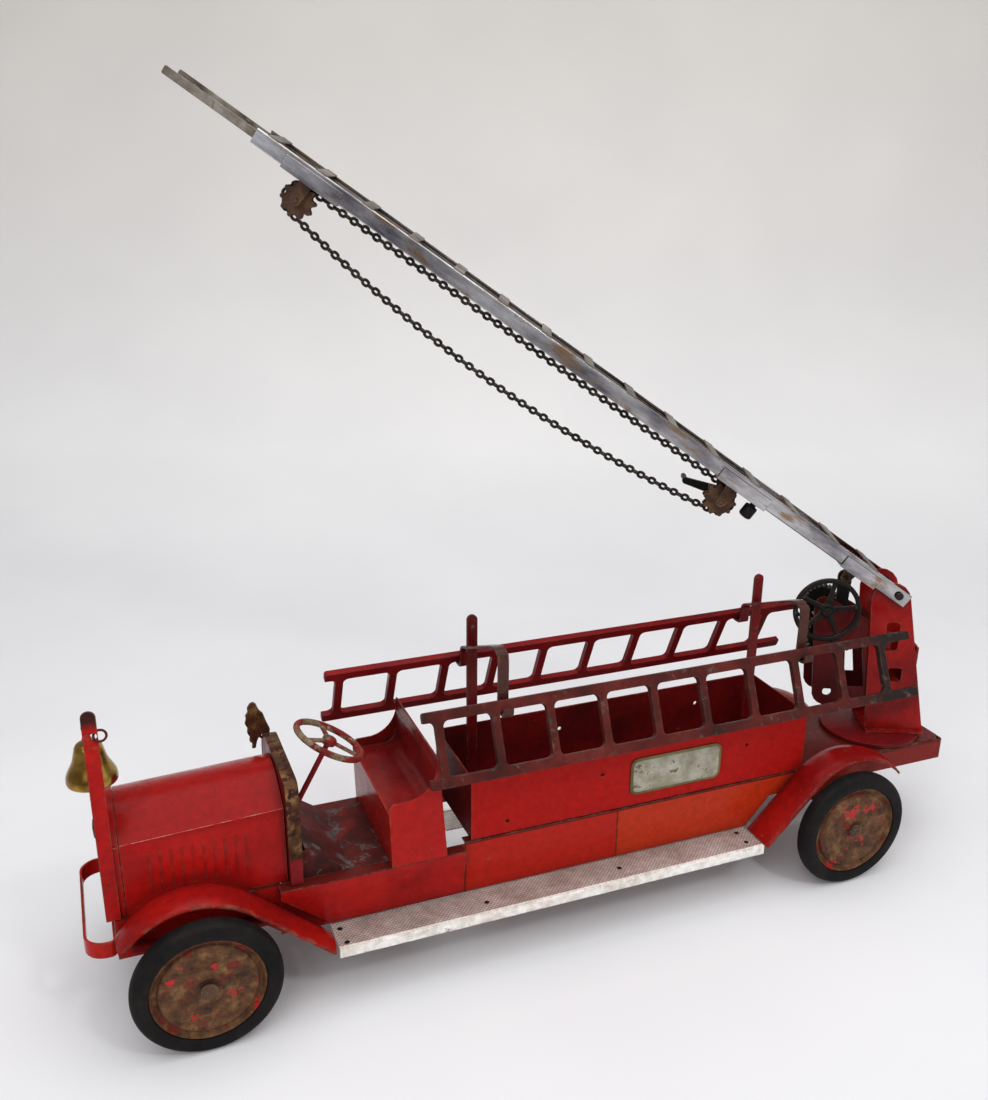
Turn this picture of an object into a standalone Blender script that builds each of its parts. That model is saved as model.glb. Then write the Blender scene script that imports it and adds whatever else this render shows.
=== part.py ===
# A pressed-steel toy fire engine with a turntable ladder, in metres.
# X points forward, Y to the vehicle's left, Z up. The origin is under the middle of the vehicle, on the floor.
# The vehicle's own centre line runs at CENTRE_LINE, since the ladder swings out over its right side.
# The turntable pieces are modelled about the turntable's axis, and the aerial ladder about its own pivot:
# there X runs along the ladder, Y across it and Z square to it.
import math

import bmesh
import bpy
from mathutils import Matrix, Vector

# Driving dimensions of the vehicle
CENTRE_LINE = (0.0004, 0.0931, 0.0)
FRONT_AXLE_X = 0.307
WHEELBASE = 0.561
REAR_AXLE_X = FRONT_AXLE_X - WHEELBASE
TAIL_X = FRONT_AXLE_X - 0.693
SHEET = 0.0012
GAP = 0.0003
TYRE_RADIUS = 0.054
TYRE_WIDTH = 0.016
WHEEL_FACE_Y = 0.092
RIM_RADIUS = 0.0414
AXLE_RADIUS = 0.0032
FRAME_HALF = 0.0446
FRAME_TOP = 0.097
BOARD_TOP = 0.050
BOARD_EDGE_Y = 0.0765
FENDER_RADIUS = 0.064

# Cab and bonnet
HOOD_FRONT_X = FRONT_AXLE_X + 0.048
HOOD_REAR_X = FRONT_AXLE_X - 0.068
HOOD_HALF = 0.042
SILL_TOP = 0.0955
DASH_X = FRONT_AXLE_X - 0.0688
DASH_HALF = 0.050
DASH_TOP = 0.182
SEAT_FRONT_X = FRONT_AXLE_X - 0.146
SEAT_HALF = 0.055
BELL_X = FRONT_AXLE_X + 0.0595
BELL_Y = 0.0235
BELL_PIN_Z = 0.2405

# Ladder bed and side ladders
BED_FRONT_X = FRONT_AXLE_X - 0.215
BED_REAR_X = FRONT_AXLE_X - 0.533
BED_HALF = 0.0434
BED_TOP = 0.1535
HANGERS_X = {"front": FRONT_AXLE_X - 0.241, "rear": FRONT_AXLE_X - 0.518}
SIDE_LADDER_LENGTH = 0.455
SIDE_RUNG_PITCH = 0.0457
SIDE_TOP = Vector((0.0, 0.0483, 0.216))
SIDE_BOTTOM = Vector((0.0, 0.0685, 0.170))

# Turntable, tower and aerial ladder
TURNTABLE_X = FRONT_AXLE_X - 0.6436
TURNTABLE_YAW = math.radians(-24.3)
TURNTABLE_RADIUS = 0.0465
LADDER_RAISE = math.radians(34.26)
PIVOT = Vector((-0.00285, 0.0, 0.2432))
TOWER_HALF = 0.0203
RAIL_HALF = 0.025
RAIL_TOP = 0.0062
RAIL_BOTTOM = -0.0070
LADDER_TIP = 0.685
RUNG_PITCH = 0.0454
HAND_WHEEL_AXIS = Vector((0.061, 0.0, 0.229))
GEAR_AXIS = Vector((0.0482, 0.0, 0.1933))
GEAR_MODULE = 0.0015
GEAR_TEETH = 30
PINION_TEETH = 20
SPROCKETS = {"lower": Vector((0.1815, 0.0, -0.026)), "upper": Vector((0.633, 0.0, -0.026))}
CHAIN_RADIUS = 0.0125
CHAIN_HALF_WIDTH = 0.0016
CHAIN_HALF_HEIGHT = 0.0013
CHAIN_SAG_ANGLE = math.radians(10.05)
LIFT_LUG = Vector((0.044, 0.0, -0.016))
LIFT_LINK_LENGTH = 0.034


def clear_scene():
    for old in list(bpy.data.objects):
        bpy.data.objects.remove(old, do_unlink=True)


def material(name, colour, roughness, metallic):
    made = bpy.data.materials.new(name)
    made.use_nodes = True
    shader = made.node_tree.nodes["Principled BSDF"]
    shader.inputs["Base Color"].default_value = (*colour, 1.0)
    shader.inputs["Roughness"].default_value = roughness
    shader.inputs["Metallic"].default_value = metallic
    made.diffuse_color = (*colour, 1.0)
    return made


# Outlines: lists of points in a plane, counter-clockwise.


def arc(centre, radius, start, end, steps):
    """Points on an arc, angles in degrees."""
    angles = [math.radians(start + (end - start) * i / steps) for i in range(steps + 1)]
    return [(centre[0] + radius * math.cos(a), centre[1] + radius * math.sin(a)) for a in angles]


def rounded_box(low, high, radius, steps=3):
    """A rectangle with rounded corners."""
    corners = [
        ((high[0] - radius, high[1] - radius), 0),
        ((low[0] + radius, high[1] - radius), 90),
        ((low[0] + radius, low[1] + radius), 180),
        ((high[0] - radius, low[1] + radius), 270),
    ]
    return [p for centre, turn in corners for p in arc(centre, radius, turn, turn + 90, steps)]


# Shapes: each returns a closed bmesh.


def loft(loops, ring=False):
    """Joins equal loops of points; the ends are capped unless they form a ring."""
    shape = bmesh.new()
    rows = [[shape.verts.new(p) for p in loop] for loop in loops]
    pairs = list(zip(rows, rows[1:] + rows[:1])) if ring else list(zip(rows, rows[1:]))
    for first, second in pairs:
        for i in range(len(first)):
            j = (i + 1) % len(first)
            shape.faces.new((first[i], first[j], second[j], second[i]))
    if not ring:
        shape.faces.new(rows[0])
        shape.faces.new(rows[-1])
    bmesh.ops.recalc_face_normals(shape, faces=shape.faces)
    return shape


def prism(outline, plane, start, end):
    """An outline drawn in plane XY, XZ or YZ, extruded along the third axis."""
    place = {
        "XY": lambda p, d: (p[0], p[1], d),
        "XZ": lambda p, d: (p[0], d, p[1]),
        "YZ": lambda p, d: (d, p[0], p[1]),
    }[plane]
    return loft([[place(p, start) for p in outline], [place(p, end) for p in outline]])


def block(low, high):
    corners = [(low[0], low[1]), (high[0], low[1]), (high[0], high[1]), (low[0], high[1])]
    return prism(corners, "XY", low[2], high[2])


def along(axis, origin):
    """The matrix that turns Z to the axis and moves to the origin."""
    turn = Vector((0.0, 0.0, 1.0)).rotation_difference(Vector(axis).normalized()).to_matrix().to_4x4()
    return Matrix.Translation(origin) @ turn


def turned(profile, axis, origin, sides, closed=False):
    """Turns a profile of (radius, height) points about an axis. An open profile starts and ends on it."""
    place = along(axis, origin)
    shape = bmesh.new()
    rows = []
    for radius, height in profile:
        if radius == 0.0:
            rows.append([shape.verts.new(place @ Vector((0.0, 0.0, height)))] * sides)
            continue
        row = []
        for i in range(sides):
            angle = 2 * math.pi * i / sides
            point = Vector((radius * math.cos(angle), radius * math.sin(angle), height))
            row.append(shape.verts.new(place @ point))
        rows.append(row)
    pairs = list(zip(rows, rows[1:]))
    if closed:
        pairs.append((rows[-1], rows[0]))
    for first, second in pairs:
        for i in range(sides):
            j = (i + 1) % sides
            corners = list(dict.fromkeys((first[i], first[j], second[j], second[i])))
            if len(corners) > 2:
                shape.faces.new(corners)
    bmesh.ops.recalc_face_normals(shape, faces=shape.faces)
    return shape


def rod(start, end, radius, sides=16):
    length = (Vector(end) - Vector(start)).length
    profile = [(0.0, 0.0), (radius, 0.0), (radius, length), (0.0, length)]
    return turned(profile, Vector(end) - Vector(start), start, sides)


def ring(centre, axis, radius, thickness, sides=32, section=8):
    """A torus."""
    profile = arc((radius, 0.0), thickness, 0, 360 - 360 / section, section - 1)
    return turned(profile, axis, centre, sides, closed=True)


def strap(path, half_width, half_thickness, ends=1.0):
    """A flat strap whose centre line is drawn in plane YZ and whose width runs along X."""
    loops = []
    for i, (x, y, z, share) in enumerate(path):
        before = Vector(path[max(i - 1, 0)][1:3])
        after = Vector(path[min(i + 1, len(path) - 1)][1:3])
        run = (after - before).normalized()
        side = Vector((-run.y, run.x)) * half_thickness
        wide = half_width * share * ends
        loops.append(
            [
                (x - wide, y - side.x, z - side.y),
                (x + wide, y - side.x, z - side.y),
                (x + wide, y + side.x, z + side.y),
                (x - wide, y + side.x, z + side.y),
            ]
        )
    return loft(loops)


def merged(shapes):
    """Several separate shapes held in one bmesh."""
    whole = bmesh.new()
    for shape in shapes:
        copied = bpy.data.meshes.new("part")
        shape.to_mesh(copied)
        shape.free()
        whole.from_mesh(copied)
        bpy.data.meshes.remove(copied)
    return whole


def mirrored(shape):
    """The same shape on the other side of the plane Y = 0."""
    bmesh.ops.scale(shape, vec=(1.0, -1.0, 1.0), verts=shape.verts)
    bmesh.ops.reverse_faces(shape, faces=shape.faces)
    return shape


def piece(name, shape, look, origin=(0.0, 0.0, 0.0), parent=None):
    """A named object, with its origin where its joint's axis is. Without a parent it stands in the vehicle's frame."""
    bmesh.ops.translate(shape, vec=-Vector(origin), verts=shape.verts)
    mesh = bpy.data.meshes.new(name)
    shape.to_mesh(mesh)
    shape.free()
    made = bpy.data.objects.new(name, mesh)
    made.location = origin
    made.parent = parent or bpy.data.objects["vehicle"]
    bpy.context.collection.objects.link(made)
    if look:
        mesh.materials.append(look)
    mesh.shade_smooth()
    mesh.set_sharp_from_angle(angle=math.radians(35))
    return made


def combine(made, operation, shapes):
    """Adds shapes to an object, or cuts them away, with a live Boolean for each."""
    for index, shape in enumerate(shapes):
        helper = piece(f"{made.name}_{operation.lower()}_{index}", shape, None, (0.0, 0.0, 0.0), made.parent)
        helper.hide_render = True
        helper.display_type = "WIRE"
        modifier = made.modifiers.new(helper.name, "BOOLEAN")
        modifier.operation = operation
        modifier.object = helper
    return made


def turned_frame(name, location, axis, angle, parent):
    """An empty that carries a joint's frame."""
    frame = bpy.data.objects.new(name, None)
    frame.location = location
    frame.rotation_euler = Matrix.Rotation(angle, 3, axis).to_euler()
    frame.parent = parent
    bpy.context.collection.objects.link(frame)
    return frame


# Frame, running boards and mudguards


def wall_outline():
    tab = 0.012
    return [
        (FRONT_AXLE_X + 0.057, 0.062),
        (FRONT_AXLE_X - 0.050, 0.062),
        (FRONT_AXLE_X - 0.064, BOARD_TOP + 0.0005),
        (FRONT_AXLE_X - 0.477, BOARD_TOP + 0.0005),
        (FRONT_AXLE_X - 0.500, 0.077),
        (REAR_AXLE_X + tab, 0.077),
        (REAR_AXLE_X + tab / 2, 0.046),
        (REAR_AXLE_X - tab / 2, 0.046),
        (REAR_AXLE_X - tab, 0.077),
        (TAIL_X, 0.077),
        (TAIL_X, FRAME_TOP),
        (FRONT_AXLE_X - 0.209, FRAME_TOP),
        (FRONT_AXLE_X - 0.209, SILL_TOP),
        (FRONT_AXLE_X + 0.057, SILL_TOP),
    ]


def cab_sill():
    """The flared side of the cab, a thin angle from the running board up to the floor."""
    inner = FRAME_HALF - SHEET / 2
    section = [
        (inner, BOARD_TOP + 0.001),
        (FRAME_HALF + 0.0008, BOARD_TOP + 0.001),
        (SEAT_HALF - 0.0005, SILL_TOP),
        (inner, SILL_TOP),
        (inner, SILL_TOP - SHEET),
        (SEAT_HALF - 0.0020, SILL_TOP - SHEET),
    ]
    return prism(section, "YZ", FRONT_AXLE_X - 0.207, FRONT_AXLE_X - 0.060)


def chassis(look):
    inner = FRAME_HALF - SHEET
    walls = merged([
        prism(wall_outline(), "XZ", inner, FRAME_HALF),
        prism(wall_outline(), "XZ", -FRAME_HALF, -inner),
    ])
    frame = piece("chassis_frame", walls, look)
    reach = inner + SHEET / 2
    chamfer = 0.006
    tail = [
        (FRONT_AXLE_X - 0.5345, -reach),
        (FRONT_AXLE_X - 0.5345, reach),
        (TAIL_X + chamfer, reach),
        (TAIL_X + SHEET / 2, reach - chamfer),
        (TAIL_X + SHEET / 2, chamfer - reach),
        (TAIL_X + chamfer, -reach),
    ]
    crosses = [
        prism(tail, "XY", FRAME_TOP - SHEET, FRAME_TOP + SHEET),
        block((TAIL_X, -reach, 0.0775), (TAIL_X + SHEET, reach, FRAME_TOP + SHEET / 2)),
        block((FRONT_AXLE_X + 0.0552, -reach, 0.0625), (FRONT_AXLE_X + 0.0564, reach, SILL_TOP - 0.0005)),
        block((FRONT_AXLE_X - 0.016, -reach, 0.0700), (FRONT_AXLE_X + 0.016, reach, 0.0730)),
        block((FRONT_AXLE_X - 0.100, -reach, 0.0600), (FRONT_AXLE_X - 0.098, reach, 0.0900)),
        block((FRONT_AXLE_X - 0.262, -reach, 0.0560), (FRONT_AXLE_X - 0.260, reach, 0.0965)),
        block((FRONT_AXLE_X - 0.472, -reach, 0.0560), (FRONT_AXLE_X - 0.470, reach, 0.0965)),
    ]
    flange_low = FRAME_TOP - SHEET
    for side in (-1, 1):
        edges = sorted((side * 0.036, side * reach))
        low = (FRONT_AXLE_X - 0.536, edges[0], flange_low)
        crosses.append(block(low, (FRONT_AXLE_X - 0.2095, edges[1], FRAME_TOP - 0.0001)))
        low = (FRONT_AXLE_X - 0.062, edges[0], SILL_TOP - SHEET)
        crosses.append(block(low, (FRONT_AXLE_X + 0.0558, edges[1], SILL_TOP - 0.0001)))
    crosses += [cab_sill(), mirrored(cab_sill())]
    combine(frame, "UNION", crosses)
    kingpin_hole = rod((FRONT_AXLE_X, 0.0, 0.066), (FRONT_AXLE_X, 0.0, 0.078), 0.0036)
    axle_hole = rod((REAR_AXLE_X, -0.06, TYRE_RADIUS), (REAR_AXLE_X, 0.06, TYRE_RADIUS), AXLE_RADIUS + GAP)
    turntable_hole = rod((TURNTABLE_X, 0.0, 0.090), (TURNTABLE_X, 0.0, 0.105), 0.0053)
    foot = FRONT_AXLE_X - 0.0976
    under_fender = [
        (foot, 0.040),
        (FRONT_AXLE_X - 0.040, 0.040),
        (FRONT_AXLE_X - 0.040, 0.1060),
        (foot, BOARD_TOP + 0.0025),
    ]
    clear_fenders = [
        prism(under_fender, "XZ", FRAME_HALF + 0.0001, 0.070),
        prism(under_fender, "XZ", -0.070, -FRAME_HALF - 0.0001),
    ]
    # The right wall has an opening behind the seat.
    side_opening = block((FRONT_AXLE_X - 0.256, -0.050, 0.040), (FRONT_AXLE_X - 0.2125, -0.040, 0.0800))
    combine(frame, "DIFFERENCE", [kingpin_hole, axle_hole, turntable_hole, side_opening, *clear_fenders])


def fender_path(centre_x, first, last, foot_x, tangent, direction):
    """Stations (x, z, outward x, outward z) from the free end over the wheel and down to the running board."""
    radius = FENDER_RADIUS
    stations = []
    steps = 12
    for i in range(steps + 1):
        angle = math.radians(first + (tangent - first) * i / steps)
        out = (direction * math.cos(angle), math.sin(angle))
        stations.append((centre_x + radius * out[0], TYRE_RADIUS + radius * out[1], *out))
    start = stations[-1]
    for share in (0.35, 0.7, 1.0):
        x = start[0] + (foot_x - start[0]) * share
        z = start[1] + (last - start[1]) * share
        stations.append((x, z, start[2], start[3]))
    return stations


def fender(name, look, path, side):
    """A crowned strip of sheet over a wheel, with its outer edge turned down."""
    crown = [(FRAME_HALF + GAP, -0.0040), (0.052, -0.0012), (0.060, 0.0), (0.068, -0.0003), (0.0755, -0.0020)]
    crown.append((0.0780, -0.0048))
    loops = []
    for x, z, out_x, out_z in path:
        top = [(x + out_x * o, side * y, z + out_z * o) for y, o in crown]
        under = [(x + out_x * (o - SHEET), side * y, z + out_z * (o - SHEET)) for y, o in crown[:-1]]
        under.append((x + out_x * (-0.0052), side * 0.0768, z + out_z * (-0.0052)))
        loops.append(top + under[::-1])
    piece(name, loft(loops), look)


def running_board(name, look, side):
    """A flat tread with a turned-down lip along its outer edge."""
    edge = BOARD_EDGE_Y
    section = [
        (FRAME_HALF + GAP, BOARD_TOP - SHEET),
        (edge - SHEET, BOARD_TOP - SHEET),
        (edge - SHEET, 0.0420),
        (edge + 0.0004, 0.0420),
        (edge + 0.0004, BOARD_TOP + 0.0004),
        (edge - 0.0024, BOARD_TOP + 0.0004),
        (edge - 0.0032, BOARD_TOP),
        (FRAME_HALF + GAP, BOARD_TOP),
    ]
    section = [(side * y, z) for y, z in section]
    piece(name, prism(section, "YZ", FRONT_AXLE_X - 0.4755, FRONT_AXLE_X - 0.0975), look)


def bumper(look):
    """A flat strap across the front, its ends turned in against the frame."""
    reach = 0.054
    corner = 0.0140
    front = FRONT_AXLE_X + 0.078
    back = FRONT_AXLE_X + 0.0582
    half = 0.0009
    outline = [(back, 0.030)]
    outline += arc((back + 0.003, reach - 0.003), 0.003, 180, 90, 3)
    outline += arc((front - corner, reach - corner), corner, 90, 0, 6)
    outline += [(x, -y) for x, y in outline[::-1]]
    loops = []
    for i, point in enumerate(outline):
        before = Vector(outline[max(i - 1, 0)])
        after = Vector(outline[min(i + 1, len(outline) - 1)])
        run = (after - before).normalized()
        out = Vector((run.y, -run.x)) * -half
        near = (point[0] + out.x, point[1] + out.y)
        far = (point[0] - out.x, point[1] - out.y)
        loops.append([(*near, 0.0735), (*far, 0.0735), (*far, 0.0862), (*near, 0.0862)])
    piece("front_bumper", loft(loops), look)


def springs(look):
    """Bowed leaf springs along the frame above the front axle."""
    for label, side in (("left", 1), ("right", -1)):
        loops = []
        for i in range(13):
            share = i / 12
            x = FRONT_AXLE_X + 0.048 - 0.096 * share
            z = 0.0740 - 0.0060 * math.sin(math.pi * share)
            half = 0.0040 if i in (0, 12) else 0.0026
            inner = side * (FRAME_HALF + GAP)
            outer = side * (FRAME_HALF + 0.0090)
            loops.append([(x, inner, z - half), (x, outer, z - half), (x, outer, z + half), (x, inner, z + half)])
        piece(f"front_spring_{label}", loft(loops), look)


# Bonnet, radiator and bell


def hood_outline(shoulder_z, ridge_z, inset):
    """The bonnet's section from its left foot over the top to its right foot, drawn in plane YZ."""
    half = HOOD_HALF - inset
    left = [
        (half, SILL_TOP + GAP),
        (half, shoulder_z - 0.0040 - inset),
        (half - 0.0012, shoulder_z - inset),
        (half - 0.0070, shoulder_z + 0.0038 - inset),
        (half * 0.45, ridge_z - 0.0030 - inset),
    ]
    return left + [(0.0, ridge_z - inset)] + [(-y, z) for y, z in left[::-1]]


def bonnet(look):
    loops = []
    for x, rise in ((HOOD_FRONT_X, 0.0), (HOOD_REAR_X, 0.005)):
        outer = hood_outline(0.154 + rise, 0.172 + rise, 0.0)
        inner = hood_outline(0.154 + rise, 0.172 + rise, SHEET)
        loops.append([(x, y, z) for y, z in outer + inner[::-1]])
    piece("hood", loft(loops), look)


def radiator(shell_look, core_look, boss_look):
    front = FRONT_AXLE_X + 0.0562
    back = HOOD_FRONT_X + GAP
    outer = hood_outline(0.1545, 0.1728, -0.0008)
    shell = piece("radiator_shell", prism(outer, "YZ", back, front), shell_look)
    combine(shell, "DIFFERENCE", [prism(hood_window(0.0055), "YZ", back - 0.001, front + 0.001)])
    core = prism(hood_window(0.0055 + 2 * GAP), "YZ", back + 0.0005, front - 0.0020)
    piece("radiator_core", core, core_look)
    start = (front - 0.0017, 0.0, 0.1465)
    profile = [(0.0, 0.0), (0.0025, 0.0), (0.0025, 0.0060), (0.0075, 0.0068), (0.0075, 0.0088), (0.0, 0.0100)]
    piece("radiator_boss", turned(profile, (1.0, 0.0, 0.0), start, 20), boss_look, start)


def hood_window(inset):
    """The opening inside the radiator's frame."""
    outline = hood_outline(0.1545, 0.1728, inset)
    foot = SILL_TOP + inset
    return [(outline[0][0], foot), *outline[1:-1], (outline[-1][0], foot)]


def bell_strap(look):
    """A tall strap up the radiator's left side, with two set bends, a round top and the bell's pin."""
    centre_x = FRONT_AXLE_X + 0.0572
    low_y = HOOD_HALF + 0.0020
    bends = [(SILL_TOP + GAP, low_y), (0.156, low_y), (0.176, 0.0425), (0.229, 0.0425), (0.245, 0.0390), (0.2545, 0.0390)]
    path = [(centre_x, y, z, 1.0) for z, y in bends]
    top_z, top_y = bends[-1]
    radius = 0.0050
    for angle in (20, 40, 60, 78):
        turn = math.radians(angle)
        path.append((centre_x, top_y, top_z + radius * math.sin(turn), math.cos(turn)))
    made = piece("bell_strap", strap(path, radius, 0.0009), look)
    pin = rod((BELL_X, BELL_Y - 0.0065, BELL_PIN_Z), (BELL_X, 0.0405, BELL_PIN_Z), 0.0013, 12)
    head = rod((BELL_X, BELL_Y - 0.0075, BELL_PIN_Z), (BELL_X, BELL_Y - 0.0060, BELL_PIN_Z), 0.0024, 12)
    combine(made, "UNION", [pin, head])
    hole_x = centre_x - 0.0020
    hole = rod((hole_x, 0.030, 0.2410), (hole_x, 0.050, 0.2410), 0.0025, 12)
    combine(made, "DIFFERENCE", [hole])


def bell(bell_look, clapper_look, ring_look):
    """A hollow pear-shaped bell under an eye, its clapper, and the pull ring in the strap."""
    hang = Vector((BELL_X, BELL_Y, BELL_PIN_Z))
    outside = [
        (0.0166, -0.0412),
        (0.0175, -0.0398),
        (0.0174, -0.0370),
        (0.0160, -0.0330),
        (0.0130, -0.0272),
        (0.0112, -0.0222),
        (0.0100, -0.0170),
        (0.0090, -0.0136),
        (0.0052, -0.0114),
        (0.0, -0.0110),
    ]
    inside = [(0.0, -0.0132), (0.0068, -0.0150), (0.0092, -0.0215), (0.0112, -0.0272), (0.0142, -0.0326), (0.0160, -0.0375)]
    profile = [(0.0, inside[0][1]), *inside[1:], *outside]
    shell = turned(profile, (0.0, 0.0, 1.0), hang, 24)
    made = piece("bell", shell, bell_look, hang)
    eye = [(0.0017, -0.0016), (0.0034, -0.0016), (0.0034, 0.0016), (0.0017, 0.0016)]
    neck = rod(hang + Vector((0.0, 0.0, -0.0118)), hang + Vector((0.0, 0.0, -0.0026)), 0.0020, 12)
    combine(made, "UNION", [neck, turned(eye, (0.0, 1.0, 0.0), hang, 16, closed=True)])
    combine(made, "DIFFERENCE", [rod(hang - Vector((0, 0.01, 0)), hang + Vector((0, 0.01, 0)), 0.0017, 16)])
    knock = hang + Vector((0.0, 0.0, -0.0150))
    profile = [
        (0.0, -0.0260),
        (0.0028, -0.0243),
        (0.0036, -0.0215),
        (0.0028, -0.0187),
        (0.0009, -0.0175),
        (0.0009, 0.0002),
        (0.0, 0.0009),
    ]
    piece("bell_clapper", turned(profile, (0.0, 0.0, 1.0), knock, 12), clapper_look, knock)
    hole = Vector((FRONT_AXLE_X + 0.0552, 0.0400, 0.2410))
    drop = Vector((-0.0042, 0.0, 0.0))
    piece("pull_ring", ring(hole + drop, (0.0, 0.62, 0.78), 0.0042, 0.0008, 20, 6), ring_look, hole)


# Cab


def cab_floor(look):
    inside = FRAME_HALF - SHEET - GAP
    low = SILL_TOP - 0.0015
    profile = [
        (SEAT_FRONT_X - 0.045, low),
        (FRONT_AXLE_X - 0.116, low),
        (FRONT_AXLE_X - 0.082, 0.119),
        (FRONT_AXLE_X - 0.082, 0.1206),
        (FRONT_AXLE_X - 0.116, low + 0.0016),
        (SEAT_FRONT_X - 0.045, low + 0.0016),
    ]
    piece("cab_floor", prism(profile, "XZ", -inside, inside), look)


def dash_outline(inset):
    """The panel's outline, its right top corner rounded more than its left one."""
    half = DASH_HALF - inset
    top = DASH_TOP - inset
    bottom = SILL_TOP + GAP
    small, large = 0.010 - inset / 2, 0.022 - inset / 2
    left = arc((half - small, top - small), small, 0, 90, 4)
    right = arc((large - half, top - large), large, 90, 180, 6)
    return [(half, bottom), *left, *right, (-half, bottom)]


def dash(panel_look, bracket_look):
    back = DASH_X - 0.0095
    panel = piece("dash_panel", prism(dash_outline(0.0), "YZ", back, DASH_X), panel_look)
    hollow = [(y, z - 0.002 if z < 0.10 else z) for y, z in dash_outline(0.0015)]
    column_hole = rod((DASH_X - 0.010, 0.022, 0.1430), (DASH_X + 0.010, 0.022, 0.1070), 0.0028, 14)
    combine(panel, "DIFFERENCE", [prism(hollow, "YZ", back - 0.001, DASH_X - 0.0015), column_hole])
    # A ragged plate at the panel's right top corner, with one leg over the panel and one in front of it.
    ragged = [
        (0.0084, 0.1648),
        (0.0111, 0.1771),
        (0.0128, 0.1881),
        (0.0106, 0.1975),
        (0.0078, 0.2040),
        (0.0031, 0.2032),
        (0.0004, 0.1965),
        (-0.0018, 0.1943),
        (-0.0065, 0.1800),
        (-0.0060, 0.1764),
        (0.0004, 0.1764),
        (0.0004, 0.1700),
        (0.0034, 0.1747),
        (0.0056, 0.1652),
    ]
    plate = prism([(DASH_X + x, z) for x, z in ragged], "XZ", -0.0472, -0.0436)
    piece("dash_bracket", plate, bracket_look)


def seat(look):
    """A seat pressed from sheet: side plates with a hollowed outline, a cushion and a back."""
    front = SEAT_FRONT_X
    base = SILL_TOP + GAP
    rise = arc((front - 0.0115, 0.1770), 0.0255, 270, 180, 5)
    outline = [
        (front, base),
        (front + 0.0015, 0.1470),
        (front - 0.0010, 0.1515),
        *[(x, z) for x, z in rise if z > 0.1515],
        (front - 0.0385, 0.1840),
        (front - 0.0450, base),
    ]
    made = piece("seat", prism(outline, "XZ", -SEAT_HALF, SEAT_HALF), look)
    inside = SEAT_HALF - SHEET
    bend = arc((front - 0.0250, 0.1540), 0.0110, 270, 190, 4)
    hollow = [
        (front + 0.010, 0.1430),
        (front + 0.010, 0.200),
        (front - 0.0366, 0.200),
        (front - 0.0368, 0.1700),
        *bend[::-1],
    ]
    cavity = [
        (front - SHEET, base - 0.002),
        (front - 0.0438, base - 0.002),
        (front - 0.0396, 0.1650),
        (front - 0.0384, 0.1518),
        *arc((front - 0.0250, 0.1540), 0.0124, 198, 270, 4),
        (front - SHEET, 0.1416),
    ]
    cuts = [
        prism(hollow, "XZ", -inside, inside),
        prism(cavity, "XZ", -inside, inside),
    ]
    combine(made, "DIFFERENCE", cuts)


def steering(column_look, wheel_look):
    hub = Vector((FRONT_AXLE_X - 0.1085, 0.022, 0.197))
    down = Vector((0.485, 0.0, -0.874)).normalized()
    foot = hub + down * 0.098
    piece("steering_column", rod(foot, hub + down * 0.0035, 0.0021, 14), column_look)
    wheel = piece("steering_wheel", ring(hub, -down, 0.0268, 0.0025, 32, 6), wheel_look, hub)
    boss = rod(hub + down * 0.0030, hub - down * 0.0030, 0.0055, 16)
    spokes = []
    frame = along(-down, hub)
    for turn in (30, 150, 270):
        angle = math.radians(turn)
        reach = Vector((math.cos(angle), math.sin(angle), 0.0))
        spokes.append(rod(frame @ (reach * 0.003), frame @ (reach * 0.0262), 0.0018, 8))
    combine(wheel, "UNION", [boss, *spokes])


# Running gear


def wheel(name, axle_x, side, disc_look, tyre_look):
    """A pressed disc wheel and its rubber tyre."""
    hub = Vector((axle_x, side * (WHEEL_FACE_Y - TYRE_WIDTH / 2), TYRE_RADIUS))
    axis = Vector((0.0, side, 0.0))
    face = TYRE_WIDTH / 2
    bore = AXLE_RADIUS + GAP
    sides = 28
    disc = [
        (bore, -0.0085),
        (0.0090, -0.0085),
        (0.0100, 0.0010),
        (0.0320, 0.0028),
        (0.0375, -0.0060),
        (RIM_RADIUS, -0.0060),
        (RIM_RADIUS, 0.0062),
        (0.0385, 0.0030),
        (0.0105, 0.0064),
        (bore, 0.0066),
    ]
    piece(f"wheel_disc_{name}", turned(disc, axis, hub, sides, closed=True), disc_look, hub)
    seat_radius = RIM_RADIUS + GAP
    tread = arc((TYRE_RADIUS - 0.0065, 0.0), 0.0065, -75, 75, 4)
    outline = [(seat_radius, -face + 0.0004)]
    outline += [(r, h * (face - 0.0004) / 0.0063) for r, h in tread]
    outline += [(seat_radius, face - 0.0004)]
    piece(f"tyre_{name}", turned(outline, axis, hub, sides, closed=True), tyre_look, hub)


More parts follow.
